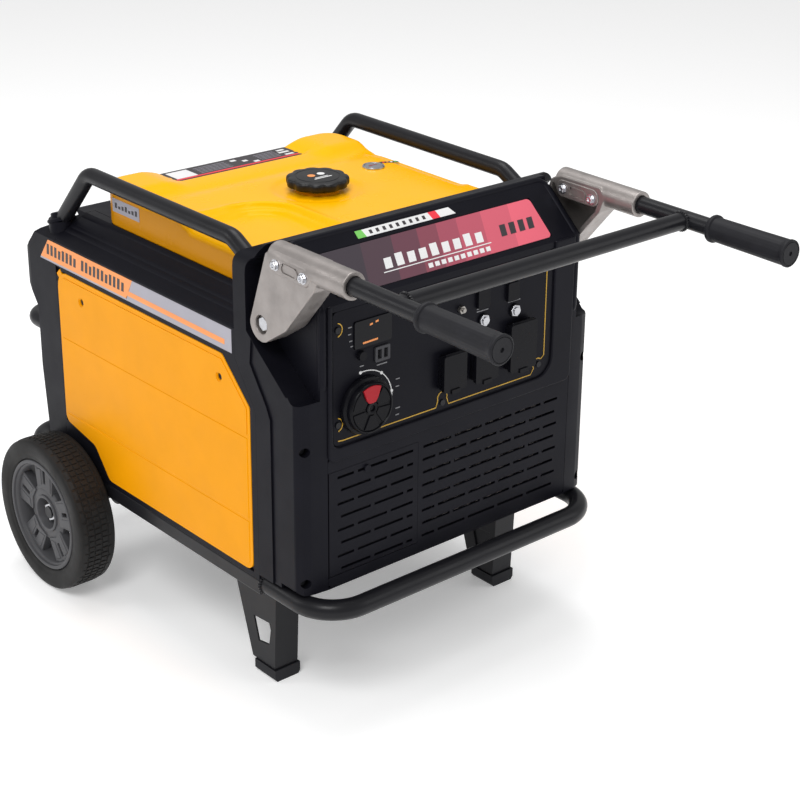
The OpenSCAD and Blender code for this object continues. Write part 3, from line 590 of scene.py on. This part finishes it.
def tank_ring(inset):
    """Outline of the tank moved in by inset, always with the same number of points."""
    corner_steps, side_steps = 8, 44
    x0, y0, x1, y1 = TANK_LO[0] + inset, TANK_LO[1] + inset, TANK_HI[0] - inset, TANK_HI[1] - inset
    r = max(34 - inset, min(6, (x1 - x0) / 4))
    corners = [(x1 - r, y1 - r, 0), (x0 + r, y1 - r, 90), (x0 + r, y0 + r, 180), (x1 - r, y0 + r, 270)]
    points = []
    for i, (cx, cy, turn) in enumerate(corners):
        bow = arc(cx, cy, r, turn, turn + 90, corner_steps)
        nx, ny, following = corners[(i + 1) % 4]
        last, goal = bow[-1], arc(nx, ny, r, following, following, 1)[0]
        run, rise = goal[0] - last[0], goal[1] - last[1]
        points += bow
        points += [(last[0] + run * k / side_steps, last[1] + rise * k / side_steps)
                   for k in range(1, side_steps)]
    return points


def fuel_tank():
    bm = bmesh.new()
    foot = ((3, 0), (0.6, 1.2), (0, 4))
    rings = [[(x, y, TANK_FOOT + up) for x, y in tank_ring(inset)] for inset, up in foot]
    for k in range(8):
        a = math.radians(90 * k / 7)
        drop = TANK_EDGE * (1 - math.sin(a))
        rings.append([(x, y, tank_height(x, y) - drop) for x, y in tank_ring(TANK_EDGE * (1 - math.cos(a)))])
    for k in range(1, 70):
        inset = TANK_EDGE + (221.5 - TANK_EDGE) * k / 69
        rings.append([(x, y, tank_height(x, y)) for x, y in tank_ring(inset)])
    join_stack(bm, [[bm.verts.new(at(*p)) for p in ring] for ring in rings])
    bmesh.ops.remove_doubles(bm, verts=bm.verts, dist=2e-5)
    from_bmesh("tank_shell", bm, "yellow_tank", replaces=("fuel_tank",), smooth=60)
    # filler neck under the cap
    lathe("tank_neck", [(23, 0), (34, 0), (34, 4), (32.5, 5.2), (24, 5.2), (23, 4), (23, 0)],
          at(*CAP, TANK_TOP - 3), (0, 0, 1), "yellow_tank")


def tank_labels():
    """Plain strips and marks in place of the printed labels."""
    printed = (at, LEDGE_Z, LEDGE_Z + 0.8)
    prism("tank_strip", round_rect(-122, 387, 120, 436, 3), at, LEDGE_Z, LEDGE_Z + 0.5, "dark_print")
    prism("tank_strip_edge", rect(-118, 390, 116, 395), *printed, "red_print")
    marks = ((-114, 396, -76, 430), (4, 420, 14, 427), (20, 409, 29, 416), (34, 397, 44, 404),
             (96, 422, 110, 428), (92, 411, 112, 417), (96, 398, 112, 404))
    prisms("tank_strip_marks", [rect(*mark) for mark in marks], *printed, "white_print")
    lines = [rect(x0, y, x1, y + 1) for x0, x1 in ((-66, -6), (50, 88)) for y in range(401, 426, 6)]
    prisms("tank_strip_lines", lines, *printed, "grey_print")
    # small plate on the left wall
    prism("tank_side_plate", round_rect(338, 622, 410, 643, 1.5), face_x(-1), 221, 222.5, "grey_print",
          slot="display_glass")
    bars = [rect(344 + i * 9, 629, 349 + i * 9, 637 - i % 3 * 2) for i in range(7)]
    prisms("tank_side_bars", bars, face_x(-1), 222.2, 222.9, "dark_print", slot="display_glass")


def fuel_cap():
    """Lobed screw cap with a raised ring, plain but for a few printed bars."""
    cx, cy = CAP
    lobes, steps = 11, 176
    # share of the radius, and height
    profile = [(0.9, 662.3), (0.955, 662.3), (0.985, 663.5), (1.0, 666), (1.0, 671), (0.985, 673.6),
               (0.95, 675.2), (0.9, 675.8), (0.76, 675.9), (0.745, 675.3), (0.715, 675.3), (0.7, 676.1),
               (0.4, 676.5), (0.0, 676.6)]
    bm = bmesh.new()
    rings = []
    for i in range(steps):
        a = 2 * math.pi * i / steps
        scallop = 48.2 - 3.4 * (0.5 - 0.5 * math.cos(lobes * a)) ** 1.6
        radii = [(share * (scallop if share > 0.87 else 46), z) for share, z in profile]
        rings.append([bm.verts.new(at(cx + r * math.cos(a), cy + r * math.sin(a), z)) for r, z in radii])
    join_turned(bm, rings)
    bm.faces.new([ring[0] for ring in rings][::-1])
    bmesh.ops.remove_doubles(bm, verts=bm.verts, dist=1e-6)
    from_bmesh("cap_grip", bm, "cap_plastic", "filler_cap", replaces=("fuel_cap",), smooth=40)
    lathe("cap_skirt", [(18, 4), (18, 16), (22, 17), (22, 1), (20.5, 0), (18, 0), (18, 4)], at(cx, cy, 645),
          (0, 0, 1), "cap_plastic", "filler_cap")
    printed = (at, 676.1, 676.75)
    bars = [rect(cx - 16, cy - 15, cx + 16, cy - 12.5), rect(cx - 12, cy - 10.5, cx + 12, cy - 8.5)]
    prisms("cap_bars", bars, *printed, "white_print", "filler_cap", slot="cap_plastic")
    for name, x, material in (("cap_dot_left", -9, "orange_print"), ("cap_dot_right", 9, "white_print")):
        prism(name, disc(cx + x, cy + 4, 6, 24), *printed, material, "filler_cap", slot="cap_plastic")


def fuel_gauge():
    slot = {"slot": "gauge_plastic"}
    x, y = GAUGE
    lathe("gauge_rim", [(0, 0), (17.8, 0), (17.8, 2.2), (16.8, 3.4), (14.6, 3.4), (13.8, 2.4), (0, 2.4)],
          at(x, y, TANK_TOP - 0.4), (0, 0, 1), "zinc", replaces=("fuel_gauge",), steps=48, **slot)
    lathe("gauge_window", [(0, 0), (13.8, 0), (13.8, 0.5), (8, 1.2), (0, 1.4)], at(x, y, TANK_TOP + 1.9),
          (0, 0, 1), "gauge_plastic", steps=48)
    prism("gauge_needle", [(x - 9, y - 1.2), (x + 7, y - 0.4), (x + 7, y + 0.4), (x - 9, y + 1.2)], at,
          TANK_TOP + 3, TANK_TOP + 3.6, "red_plastic", **slot)
    prism("gauge_tag", [(181, 262), (207, 250), (207, 258), (181, 270)], at,
          TANK_TOP - 0.2, TANK_TOP + 0.4, "dark_print", **slot)
    for i, material in enumerate(("red_print", "orange_print", "white_print", "green_print")):
        mark = round_rect(183 + 6 * i, 261 - 2.6 * i, 187 + 6 * i, 265 - 2.6 * i, 0.8)
        prism(f"gauge_mark_{i + 1}", mark, at, TANK_TOP + 0.2, TANK_TOP + 0.8, material, **slot)


fuel_tank()
tank_labels()
fuel_cap()
fuel_gauge()

# ---- side covers, sticker bands and deck ----

COVER_SCREWS = ((61, 482), (419, 485))
# corners of a side cover in (y, z), each with its radius
COVER = [(-8, 204, 16), (366, 204, 14), (404, 251, 20), (486, 267, 14), (486, 519, 26), (54, 519, 14),
         (-8, 458, 14)]
BAND_LOW, BAND_HIGH = 527, 562


def cover_shape(inset):
    """Outline of a side cover in (y, z), moved in by inset, with rounded corners."""
    points = []
    for i, (y, z, r) in enumerate(COVER):
        here = Vector((y, z))
        before, after = Vector(COVER[i - 1][:2]), Vector(COVER[(i + 1) % len(COVER)][:2])
        back, ahead = (before - here).normalized(), (after - here).normalized()
        half = back.angle(ahead) / 2
        centre = here + (back + ahead).normalized() * (r / math.sin(half))
        radius = max(1, r - inset) if back.cross(ahead) < 0 else r + inset
        foot = here + back * (r / math.tan(half)) - centre
        leave = here + ahead * (r / math.tan(half)) - centre
        sweep = foot.angle_signed(leave)
        for k in range(7):
            turn = Matrix.Rotation(-sweep * k / 6, 2)
            points.append(tuple(centre + (turn @ foot).normalized() * radius))
    return points


def clip_field(outline, low, high):
    """The part of a convex outline between two heights."""
    kept = []
    for i, (y, z) in enumerate(outline):
        y0, z0 = outline[i - 1]
        crossed = [limit for limit in (low, high) if (z0 - limit) * (z - limit) < 0]
        crossings = sorted(((limit - z0) / (z - z0), limit) for limit in crossed)
        kept += [(y0 + (y - y0) * t, limit) for t, limit in crossings]
        if low <= z <= high:
            kept.append((y, z))
    return kept


def cut_screw_holes(piece, side, depth, profile):
    cutter = bmesh.new()
    for y, z in COVER_SCREWS:
        add_lathe(cutter, profile, at(side * depth, y, z), (side, 0, 0), 32)
    cut(piece, cutter)


def side_cover(side, name):
    """Cover with a soft edge, two creases across it and two countersunk screw holes."""
    face, back = face_x(side), HALF - 3.2
    piece = prism(f"side_cover_{name}", cover_shape(0), face, back, HALF + 0.6, "yellow_cover",
                  replaces=(f"service_cover_{name}",))
    cut_screw_holes(piece, side, HALF - 2, [(0, -6), (5.2, -6), (5.2, 2), (6.4, 3.6), (0, 3.6)])
    soften(piece, 2.2, 4)
    prism(f"cover_tab_{name}", [(468, 510), (477, 501), (489, 513), (480, 522)], face, back, HALF,
          "yellow_cover", round_edges=1)
    # raised fields between the creases
    for low, high, tag in ((285, 410, "middle"), (416, 511, "upper"), (210, 281, "lower")):
        field = prism(f"cover_field_{tag}_{name}", clip_field(cover_shape(6.5), low, high), face, HALF - 1,
                      HALF + 1.5, "yellow_cover")
        if tag == "upper":
            cut_screw_holes(field, side, HALF, [(0, -6), (7.2, -6), (7.2, 6), (0, 6)])
        soften(field, 1.1, 4)
    head = [(0, 0), (4.4, 0), (4.6, 0.6), (4.4, 1.6), (3.2, 2.2), (2.2, 2.2), (1.8, 0.6), (0, 0.6)]
    for i, (y, z) in enumerate(COVER_SCREWS):
        lathe(f"cover_screw_{name}_{i + 1}", head, at(side * back, y, z), (side, 0, 0), "powder_coat", steps=32)


def sticker_band(side, name):
    """Two-colour band above the cover: orange at the rear, grey with an orange line towards the front."""
    low = HALF - 0.3
    for tag, outline, high, material in (
        ("grey", [(30, BAND_LOW), (292, BAND_LOW), (274, BAND_HIGH), (30, BAND_HIGH)], 0.5, "grey_print"),
        ("orange", [(292, 530), (532, 530), (508, BAND_HIGH), (274, BAND_HIGH)], 0.5, "orange_print"),
        ("foot", [(292, BAND_LOW), (534, BAND_LOW), (532, 530), (292, 530)], 0.5, "grey_print"),
        ("line", [(46, 535), (296, 535), (288, 543), (46, 543)], 0.7, "orange_print"),
    ):
        prism(f"band_{tag}_{name}", outline, face_x(side), low, HALF + high, material)
    dashes = [slanted(298 + i * 11, 538, 6.4, 555 if i % 4 else 552, -1.8) for i in range(20) if i != 11]
    prisms(f"band_dashes_{name}", dashes, face_x(side), low, HALF + 0.7, "dark_print")


def deck_ribs(side, name):
    """Long ribs that stand on the sloping deck beside the tank."""
    def deck_point(across, y, up):
        """A point on the deck; across runs from 0 at the tank to 1 at the outer edge."""
        return at(side * (222 + 58 * across - up * 0.5), y, 598 - 33 * across + up * 0.87)

    bm = bmesh.new()
    for a0, a1, high in ((0.03, 0.14, 3.2), (0.42, 0.5, 2.4), (0.58, 0.66, 2.4), (0.93, 0.99, 1.6)):
        outline = rect(28, -1, 489, high)
        join_stack(bm, [[bm.verts.new(deck_point(a, y, up)) for y, up in outline] for a in (a0, a1)])
    soften(from_bmesh(f"deck_ribs_{name}", bm, "black_moulding"), 1.0, 3)


for side, name in SIDES:
    side_cover(side, name)
    sticker_band(side, name)
    deck_ribs(side, name)

# ---- banner, top label and control panel ----

SLOPE_FOOT, SLOPE_TOP = (-118, 626), (-38, 697)  # lower and upper edge of the sloping face, as (y, z)
SLOPE_LENGTH = math.dist(SLOPE_FOOT, SLOPE_TOP)
DIAL_X, DIAL_Z = -168, 470
BUTTON_X, BUTTON_Z = (51, 112), 539


def on_slope(u, v, w):
    """u across the machine, v up the sloping face, w outwards from it, in mm."""
    dy, dz = (SLOPE_TOP[0] - SLOPE_FOOT[0]) / SLOPE_LENGTH, (SLOPE_TOP[1] - SLOPE_FOOT[1]) / SLOPE_LENGTH
    return at(u, SLOPE_FOOT[0] + dy * v - dz * w, SLOPE_FOOT[1] + dz * v + dy * w)


def banner():
    """Film on the sloping face, with blocks in place of the lettering and a small strip above."""
    prism("banner", round_rect(-207, 9, 190, 77, 7), on_slope, -0.6, 0.8, "banner_film",
          replaces=("nameplate",), round_edges=0.4)
    printed = (on_slope, 0.5, 1.1)
    blocks = [slanted(-112 + i * 21, 30, 13, 46 + (i % 3 == 1) * 3, 5) for i in range(9)]
    blocks += [slanted(-44 + i * 12, 14, 8, 21, 2) for i in range(10)]
    prisms("banner_blocks", blocks + [rect(-118, 25, 80, 26.4)], *printed, "white_print")
    dark = [slanted(104 + i * 18, 30, 11, 48, 6) for i in range(4)]
    prisms("banner_blocks_dark", dark, *printed, "dark_print")
    # strip with a slanted right end, and its green and red fields
    prism("top_strip", [(-127, 84), (51, 84), (44, 96), (-127, 96)], on_slope, -0.3, 0.5, "white_print")
    field = [(-127, 84), (-112, 84), (-115, 96), (-127, 96)]
    prism("top_strip_green", field, on_slope, -0.2, 0.7, "green_print")
    prism("top_strip_red", slanted(8, 84, 14, 96, -3), on_slope, -0.2, 0.7, "red_print")
    marks = [rect(-104 + i * 12, 87, -99 + i * 12, 93) for i in range(9)]
    prisms("top_strip_marks", marks, on_slope, 0.2, 0.7, "dark_print")


def panel_nuts():
    """Bright hexagon nuts round the two breaker buttons."""
    outline = [(6.7, 2.7), (9.6, 2.7), (9.6, 4.2), (8.9, 4.9), (6.7, 4.9), (6.7, 2.7)]
    for i, x in enumerate(BUTTON_X):
        nut = lathe(f"breaker_nut_{i + 1}", outline, at(x, FRONT, BUTTON_Z), (0, -1, 0), "zinc", steps=6,
                    smooth=25)
        soften(nut, 0.3, 2)


def panel_line():
    """Thin painted line round the control panel, bowed in round each screw."""
    right, bottom, top = 176, 427, 604
    path = [(-214, 428), (-206, bottom), (-37, bottom)] + arc(-25, 440, 9, 200, -20, 10)
    path += [(-13, bottom), (150, bottom)] + arc(163, 441, 9, 215, 45, 8) + [(right, 452), (right, top)]
    ribbon("panel_line", path, 1.5, slot="panel_face")
    for i, z in enumerate((452, 590)):
        ribbon(f"panel_line_arc_{i + 1}", arc(-216, z, 10, -75, 75, 10), 1.5, slot="panel_face")


def panel_marks():
    """Scale of the dial, lines beside the display and small generic marks."""
    slot = {"slot": "panel_face"}
    ribbon("dial_scale", arc(DIAL_X, DIAL_Z, 49, 98, -8, 26), 1.3, "white_print", **slot)
    for i, a in enumerate((98, 52, 8)):
        x, z = arc(DIAL_X, DIAL_Z, 49, a, a, 1)[0]
        prism(f"dial_dot_{i + 1}", disc(x, z, 2.4, 16), on_panel, 0.1, 0.7, "white_print", **slot)
    # x, z and length of each mark
    rows = [(-196, 588, 6), (-196, 578, 5), (-194, 568, 5), (-192, 560, 4), (-182, 556.5, 10)]
    rows += [(-146, 521, 18), (-112, 491, 7), (-112, 480, 6), (-112, 437, 6), (-112, 447, 8), (-176, 527, 7)]
    rows += [(38, 553, 22), (38, 557, 16), (99, 553, 24), (3, 553, 5), (150, 463, 10), (152, 468, 7)]
    rows += [(154, 473, 4), (-20, 446, 8), (44, 445, 8), (140, 444, 10)]
    marks = [rect(x, z, x + long, z + 1.6) for x, z, long in rows]
    prisms("panel_marks", marks, on_panel, 0, 0.5, "faint_print", **slot)
    lines = [[(x, z), (x + long, z + 0.6), (x + long, z + 3.2), (x, z + 2.6)]
             for x, z, long in ((-172, 560, 26), (-160, 584, 5), (-150, 586, 5))]
    prisms("display_lines", lines, on_panel, 2, 2.4, "orange_print", **slot)


def engine_dial():
    """Round selector with a skirt, sunk sectors and a red pointer."""
    centre, axis = at(DIAL_X, FRONT, DIAL_Z), (0, -1, 0)
    slot = {"slot": "panel_face"}
    skirt = [(0, 0.6), (42, 0.6), (42, 5), (41, 7), (39, 8), (37.5, 8.6), (37.2, 16), (36, 17.8),
             (34.4, 18.2), (33.6, 17.2), (33.2, 15.6), (0, 15.6)]
    lathe("dial_skirt", skirt, centre, axis, "switch_black", "dial", 96, replaces=("engine_dial",), **slot)

    def face(u, v, w):
        return on_panel(DIAL_X + u, DIAL_Z + v, w)

    wedge = arc(0, 0, 33.2, 62, 118, 10) + [(-10, 14), (-6, 8.6), (0, 7.4), (6, 8.6), (10, 14)]
    prism("dial_pointer", wedge, face, 15, 18.6, "red_plastic", "dial", round_edges=0.8, **slot)
    for i in range(1, 6):
        a0, a1 = 90 + 60 * i - 24, 90 + 60 * i + 24
        outline = arc(0, 0, 32.6, a0, a1, 8) + arc(0, 0, 11, a1 - 6, a0 + 6, 4)
        prism(f"dial_sector_{i}", outline, face, 15, 17.4, "switch_black", "dial", round_edges=0.8, **slot)
    lathe("dial_hub", [(4.8, 12), (4.8, 17.6), (6, 18.2), (8.4, 18.2), (9.4, 17.4), (9.4, 15)], centre, axis,
          "switch_black", "dial", steps=40, **slot)


def panel_frame():
    """Soft raised border that leaves the control panel in a shallow recess."""
    inner = [(-224, 627), (-224, 432)] + arc(-212, 431, 12, 180, 270, 5) + arc(160, 449, 30, 270, 360, 8)
    inner.append((190, 627))
    outer = [(231, 627)] + arc(219, 411, 12, 0, -90, 5) + arc(-220, 411, 12, 270, 180, 5) + [(-231.5, 627)]
    soften(prism("panel_border", inner + outer, on_panel, -2, 3.6, "black_moulding"), 2.6, 5)


banner()
panel_nuts()
panel_line()
panel_marks()
engine_dial()
panel_frame()

# ---- wheels ----

WHEEL_X, WHEEL_Y, WHEEL_Z, WHEEL_R = 318, AXLE_BACK, 125, 125
TREAD_FOOT = 122.4
# tread rows: inner and outer edge, shift round the tyre in steps, blocks, and drop of the outer edge
TREAD = ((-17.6, -29.6, 0.0, 40, 2.6), (-16.2, -5.6, 0.5, 40, 0), (-4.2, 6.4, 0.1, 40, 0),
         (7.8, 17.6, 0.6, 40, 0), (19, 29.2, 0.25, 44, 2.2))


def add_block(bm, side, a0, a1, out0, out1, drop):
    """A tread block: a curved box that narrows a little towards its top; drop lowers its outer edge."""
    rings = []
    for r, inset, low in ((TREAD_FOOT, 0.0, 0), (WHEEL_R, 0.06, drop)):
        da, do = (a1 - a0) * inset, (out1 - out0) * inset
        ring = []
        for a, out, down in ((a0 + da, out0 + do, 0), (a1 - da, out0 + do, 0), (a1 - da, out1 - do, low),
                             (a0 + da, out1 - do, low)):
            ring.append(bm.verts.new(at(side * (WHEEL_X + out), WHEEL_Y + (r - down) * math.cos(a),
                                        WHEEL_Z + (r - down) * math.sin(a))))
        rings.append(ring)
    join_stack(bm, rings)


def tyre(side, name):
    body = f"wheel_{name}"
    flank = [(91.5, 25), (93, 28), (96, 29.6), (99, 29.6), (100.5, 30.6), (106, 31.6), (113, 31.9),
             (118.4, 31.4), (121.6, 30.2), (123.2, 28.2), (123.5, 25), (123.5, 0)]
    profile = flank + [(r, -h) for r, h in flank[::-1]] + [(91.5, -25), (91.5, 25)]
    lathe(f"tyre_body_{name}", profile, at(side * WHEEL_X, WHEEL_Y, WHEEL_Z), (side, 0, 0), "tyre", body,
          replaces=(f"tyre_{name}",), steps=144, smooth=50)
    bm = bmesh.new()
    for out0, out1, shift, n, drop in TREAD:
        step = 2 * math.pi / n
        bars = ((0.04, 0.9),) if drop else ((0.06, 0.42), (0.52, 0.94))
        for i in range(n):
            a = (i + shift) * step
            for low, high in bars:
                add_block(bm, side, a + low * step, a + high * step, out0, out1, drop)
    soften(from_bmesh(f"tread_blocks_{name}", bm, "tyre", body), 0.5, 2)


def rim(side, name):
    """Five broad spokes, each split by a slot, between a deep hub and the rim."""
    body = f"wheel_{name}"

    def ring(tag, profile, steps, **more):
        lathe(f"{tag}_{name}", profile, at(side * WHEEL_X, WHEEL_Y, WHEEL_Z), (side, 0, 0), "rim_plastic",
              body, steps, smooth=45, **more)

    ring("rim_ring", [(91.8, 25), (90.5, 28.6), (87.5, 29.6), (85, 28.6), (84, 25.5), (82.2, 24.6),
                      (80.2, 22), (79.5, 8), (79.5, -8), (82, -22), (91.8, -24), (91.8, 25)], 120,
         replaces=(f"rim_{name}",))
    ring("hub", [(10.2, -23), (28, -23), (28, 16), (30.5, 18), (30, 20.4), (28, 21.4), (25.8, 20.8),
                 (24.6, 18.6), (22.6, 4), (10.2, 4), (10.2, -23)], 72)
    ring("hub_disc", [(25, 4), (25, 17), (26, 18), (44, 18), (46.5, 16.5), (47, 14), (47, 4), (25, 4)], 96)

    def place(u, v, w):
        return at(side * (WHEEL_X + w), WHEEL_Y + u, WHEEL_Z + v)

    def add_sector(bm, points, low, high):
        """A prism from points in radius and degrees."""
        outline = [(r * math.cos(math.radians(a)), r * math.sin(math.radians(a))) for r, a in points]
        add_prism(bm, outline, place, low, high)

    spokes, slots, ribs = bmesh.new(), bmesh.new(), bmesh.new()
    for i in range(5):
        mid = 90 + 72 * i
        web = [(42, mid - 30), (60, mid - 23.5), (80.5, mid - 20), (80.8, mid - 10), (80.8, mid),
               (80.8, mid + 10), (80.5, mid + 20), (60, mid + 23.5), (42, mid + 30), (42, mid)]
        add_sector(spokes, web, 5, 20)
        add_sector(slots, [(52, mid - 3.4), (74, mid - 2.4), (74, mid + 2.4), (52, mid + 3.4)], 12, 24)
        for s in (-1, 1):
            edge = [(45, mid + s * 25), (76, mid + s * 16.5), (76, mid + s * 5.4), (48, mid + s * 8)]
            add_sector(ribs, edge[::s], 18, 21)
    piece = from_bmesh(f"spokes_{name}", spokes, "rim_plastic", body)
    cut(piece, slots)
    soften(piece, 1.4, 3)
    soften(from_bmesh(f"spoke_ribs_{name}", ribs, "rim_plastic", body), 1.5, 4)


for side, name in SIDES:
    tyre(side, name)
    rim(side, name)

# ---- push handle ----

HANDLE_X, HANDLE_Z = 264, 692
GRIP_END = -484  # y of the grip's free end


def grip(side, name):
    """Moulded grip with a flange at each end, fine ribs along it and a vent in its end."""
    steps, ribs = 96, 24
    profile = [(0, 2.6), (3, 2.6), (3.2, 0.4), (15.4, 0.2), (15.8, 1), (16.4, 1), (16.8, 0.2), (18.4, 0.2),
               (19.2, 1), (19.3, 4), (18.6, 5.4), (18.2, 6), (18.3, 12), (17.8, 50), (17.4, 110), (17.2, 126),
               (17.4, 128.6), (19.2, 129.4), (19.7, 130.6), (19.7, 134), (18.8, 135.6), (16.4, 137),
               (13, 138), (12.56, 137), (12.56, 130)]
    centre = at(side * HANDLE_X, GRIP_END, HANDLE_Z)
    bm = bmesh.new()
    rings = []
    for i in range(steps):
        a = 2 * math.pi * i / steps
        ring = []
        for r, h in profile:
            if 11 < h < 109 and r > 16:
                r += 0.16 * math.cos(ribs * a)
            ring.append(bm.verts.new(centre + Vector((r * math.cos(a), h, r * math.sin(a))) / 1000))
        rings.append(ring)
    join_turned(bm, rings)
    bmesh.ops.remove_doubles(bm, verts=bm.verts, dist=1e-7)
    from_bmesh(f"grip_sleeve_{name}", bm, "rubber", "push_handle", replaces=(f"grip_{name}",), smooth=50)


def bracket_casting(name):
    """The CAD bracket with the soft edges and blends of a casting."""
    node = f"handle_bracket_{name}"
    work = add_object("work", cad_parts[node].data.copy())
    add_weld(work)
    remesh = work.modifiers.new("voxels", "REMESH")
    remesh.mode = "VOXEL"
    remesh.voxel_size = 0.0011
    smooth = work.modifiers.new("smooth", "SMOOTH")
    smooth.iterations = 5
    fewer = work.modifiers.new("fewer", "DECIMATE")
    fewer.ratio = 0.25
    result = baked(work)
    mesh = work.data
    bpy.data.objects.remove(work)
    bpy.data.meshes.remove(mesh)
    result.name = f"bracket_casting_{name}"
    result.shade_smooth()
    show(result.name, result, "cast_aluminium", "push_handle", replaces=(node,))


def bolt_head(name, centre, axis, r, high, body):
    """Hexagon head with a washer and a dimple."""
    washer = [(0, 0), (r * 1.28, 0), (r * 1.3, 0.4), (r * 1.26, 1.2), (0, 1.2)]
    lathe(f"{name}_washer", washer, centre, axis, "zinc", body, steps=40)
    outline = [(r, 1.2), (r, high - 0.8), (r * 0.9, high), (r * 0.45, high), (r * 0.4, high - 1.6),
               (0, high - 1.6)]
    soften(lathe(f"{name}_head", outline, centre, axis, "zinc", body, 6, smooth=25), 0.35, 2)


def clamp_face(side, name, tag, x, out):
    """Two clamp bolts on one face of a bracket, and the raised rim of the slot between them."""
    def place(u, v, w):
        return at(side * x + out * w, u, v)

    for i, (y, z) in enumerate(((-77, 686), (-135, 684))):
        bolt_head(f"clamp_bolt_{tag}_{name}_{i + 1}", place(y, z, 0), (out, 0, 0), 6.2, 5.4, "push_handle")
    path = arc(-96, 685.4, 6.5, 90, -90, 8) + arc(-117, 684.6, 6.5, 270, 90, 8)
    ribbon(f"bracket_slot_{tag}_{name}", path + path[:2], 2.4, "cast_aluminium", place, 1.6,
           body="push_handle")


def handle():
    for side, name in SIDES:
        grip(side, name)
        bracket_casting(name)
        weld_bead(f"cross_weld_{name}", at(side * (HANDLE_X - 12), -300, HANDLE_Z), (1, 0, 0), 12.6, 2.4,
                  "push_handle")
        prism(f"clamp_pad_{name}", round_rect(-148, 673, -64, 699, 12), face_x(side), 243.6, 250,
              "cast_aluminium", "push_handle", round_edges=1.2)
        clamp_face(side, name, "outer", 283.2, side)
        clamp_face(side, name, "inner", 243.7, -side)
    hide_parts("bracket_bolts")


handle()

# ---- front cap ----


def corner_cutter(x, z, r, turn, y0, y1):
    """Solid outside an arc that rounds a corner at (x, z); the arc starts at turn degrees."""
    reach = 40  # how far the solid goes past the corner
    ux = 1 if math.cos(math.radians(turn + 45)) > 0 else -1
    uz = 1 if math.sin(math.radians(turn + 45)) > 0 else -1
    cx, cz = x - ux * r, z - uz * r
    outline = arc(cx, cz, r, turn, turn + 90, 10)
    first, last = outline[0], outline[-1]
    far = (cx + ux * (r + reach), cz + uz * (r + reach))
    if abs(first[0] - cx) > abs(first[1] - cz):
        outline += [(last[0], far[1]), far, (far[0], first[1])]
    else:
        outline += [(far[0], last[1]), far, (first[0], far[1])]
    bm = bmesh.new()
    add_prism(bm, outline, lambda u, v, w: at(u, w, v), y0, y1)
    return bm


def front_shell():
    """Front cap with its corners rounded, and a soft raised edge round the sloping face."""
    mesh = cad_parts["front_cap"].data.copy()
    shell = show("front_shell", mesh, "black_moulding", replaces=("front_cap",))
    weld = bmesh.new()
    weld.from_mesh(mesh)
    bmesh.ops.remove_doubles(weld, verts=weld.verts, dist=SAME_POINT)
    weld.to_mesh(mesh)
    weld.free()
    for side, turn in ((1, 0), (-1, 90)):
        cut(shell, corner_cutter(side * HALF, 698, 34, turn, -40, 30))
        cut(shell, corner_cutter(side * 243, 698, 20, turn, -125, -40))
    for side, turn in ((1, 270), (-1, 180)):
        cut(shell, corner_cutter(side * HALF, 204, 16, turn, -125, -70))
    shell.data.shade_smooth()
    shell.data.set_sharp_from_angle(angle=math.radians(33))
    soften(shell, 1.0, 3, 40)
    even = shell.modifiers.new("even", "WEIGHTED_NORMAL")
    even.keep_sharp = True
    bm = bmesh.new()
    edge = [(237, -104, 498), (237, -113.2, 512), (237, -113.2, 624), (237, -38, 690.6), (-237, -38, 690.6),
            (-237, -113.2, 624), (-237, -113.2, 512), (-237, -104, 498)]
    add_tube(bm, bent_path(edge, 15), 6.6, 24)
    from_bmesh("front_edge_roll", bm, "black_moulding")


front_shell()

# ---- legs, and CAD nodes that show as they are ----

for side, name in SIDES:
    # inner wall of each leg behind its window
    prism(f"leg_web_{name}", [(4, 50), (54, 48), (56, 96), (2, 98)], face_x(side), 201.1, 202.4,
          "powder_coat")

# material, then each node with the rounding of its edges in mm
KEPT = (
    ("powder_coat", (("base_frame", 0.8), ("leg_left", 1.2), ("leg_right", 1.2), ("axle", 0.5),
                     ("rear_louvre", 0.4), ("belly_pan", 0.3), ("cap_screws", 0.4), ("handle_tube", 0))),
    ("rubber", (("rubber_feet", 1.4), ("engine_mounts", 0.8), ("fuel_cap_seal", 0.2))),
    ("zinc", (("axle_nuts", 0.5), ("pivot_bolts", 0.5), ("breaker_button_1", 0.4),
              ("breaker_button_2", 0.4))),
    ("black_moulding", (("rear_cap", 1.2), ("side_panel_left", 0.6), ("side_panel_right", 0.6),
                        ("front_grille", 0.7), ("air_cleaner", 1.5), ("battery_door", 0.7))),
    ("switch_black", (("socket_bodies", 0.5), ("breaker_bodies", 0.5), ("start_button", 0.5),
                      ("socket_lid_1", 0.8), ("socket_lid_2", 0.8), ("socket_lid_3", 0.8))),
    ("cast_aluminium", (("engine_block", 1.0), ("cylinder_head", 0.5), ("inverter_module", 0.5))),
    ("steel", (("earth_terminal", 0.3), ("muffler", 1.0), ("crankshaft", 0.5))),
    ("panel_face", (("control_panel", 0.4),)),
    ("display_glass", (("display_window", 0.5),)),
    ("dark_grey", (("usb_port", 0.4),)),
    ("copper", (("stator", 0.5),)),
    ("battery_case", (("battery", 1.0),)),
)

for material, nodes in KEPT:
    for node, edge in nodes:
        keep_cad(node, material, edge)

# ---- box corners, rounded to five places ----


def corners(box):
    return [[round(v, 5) for v in corner] for corner in box]
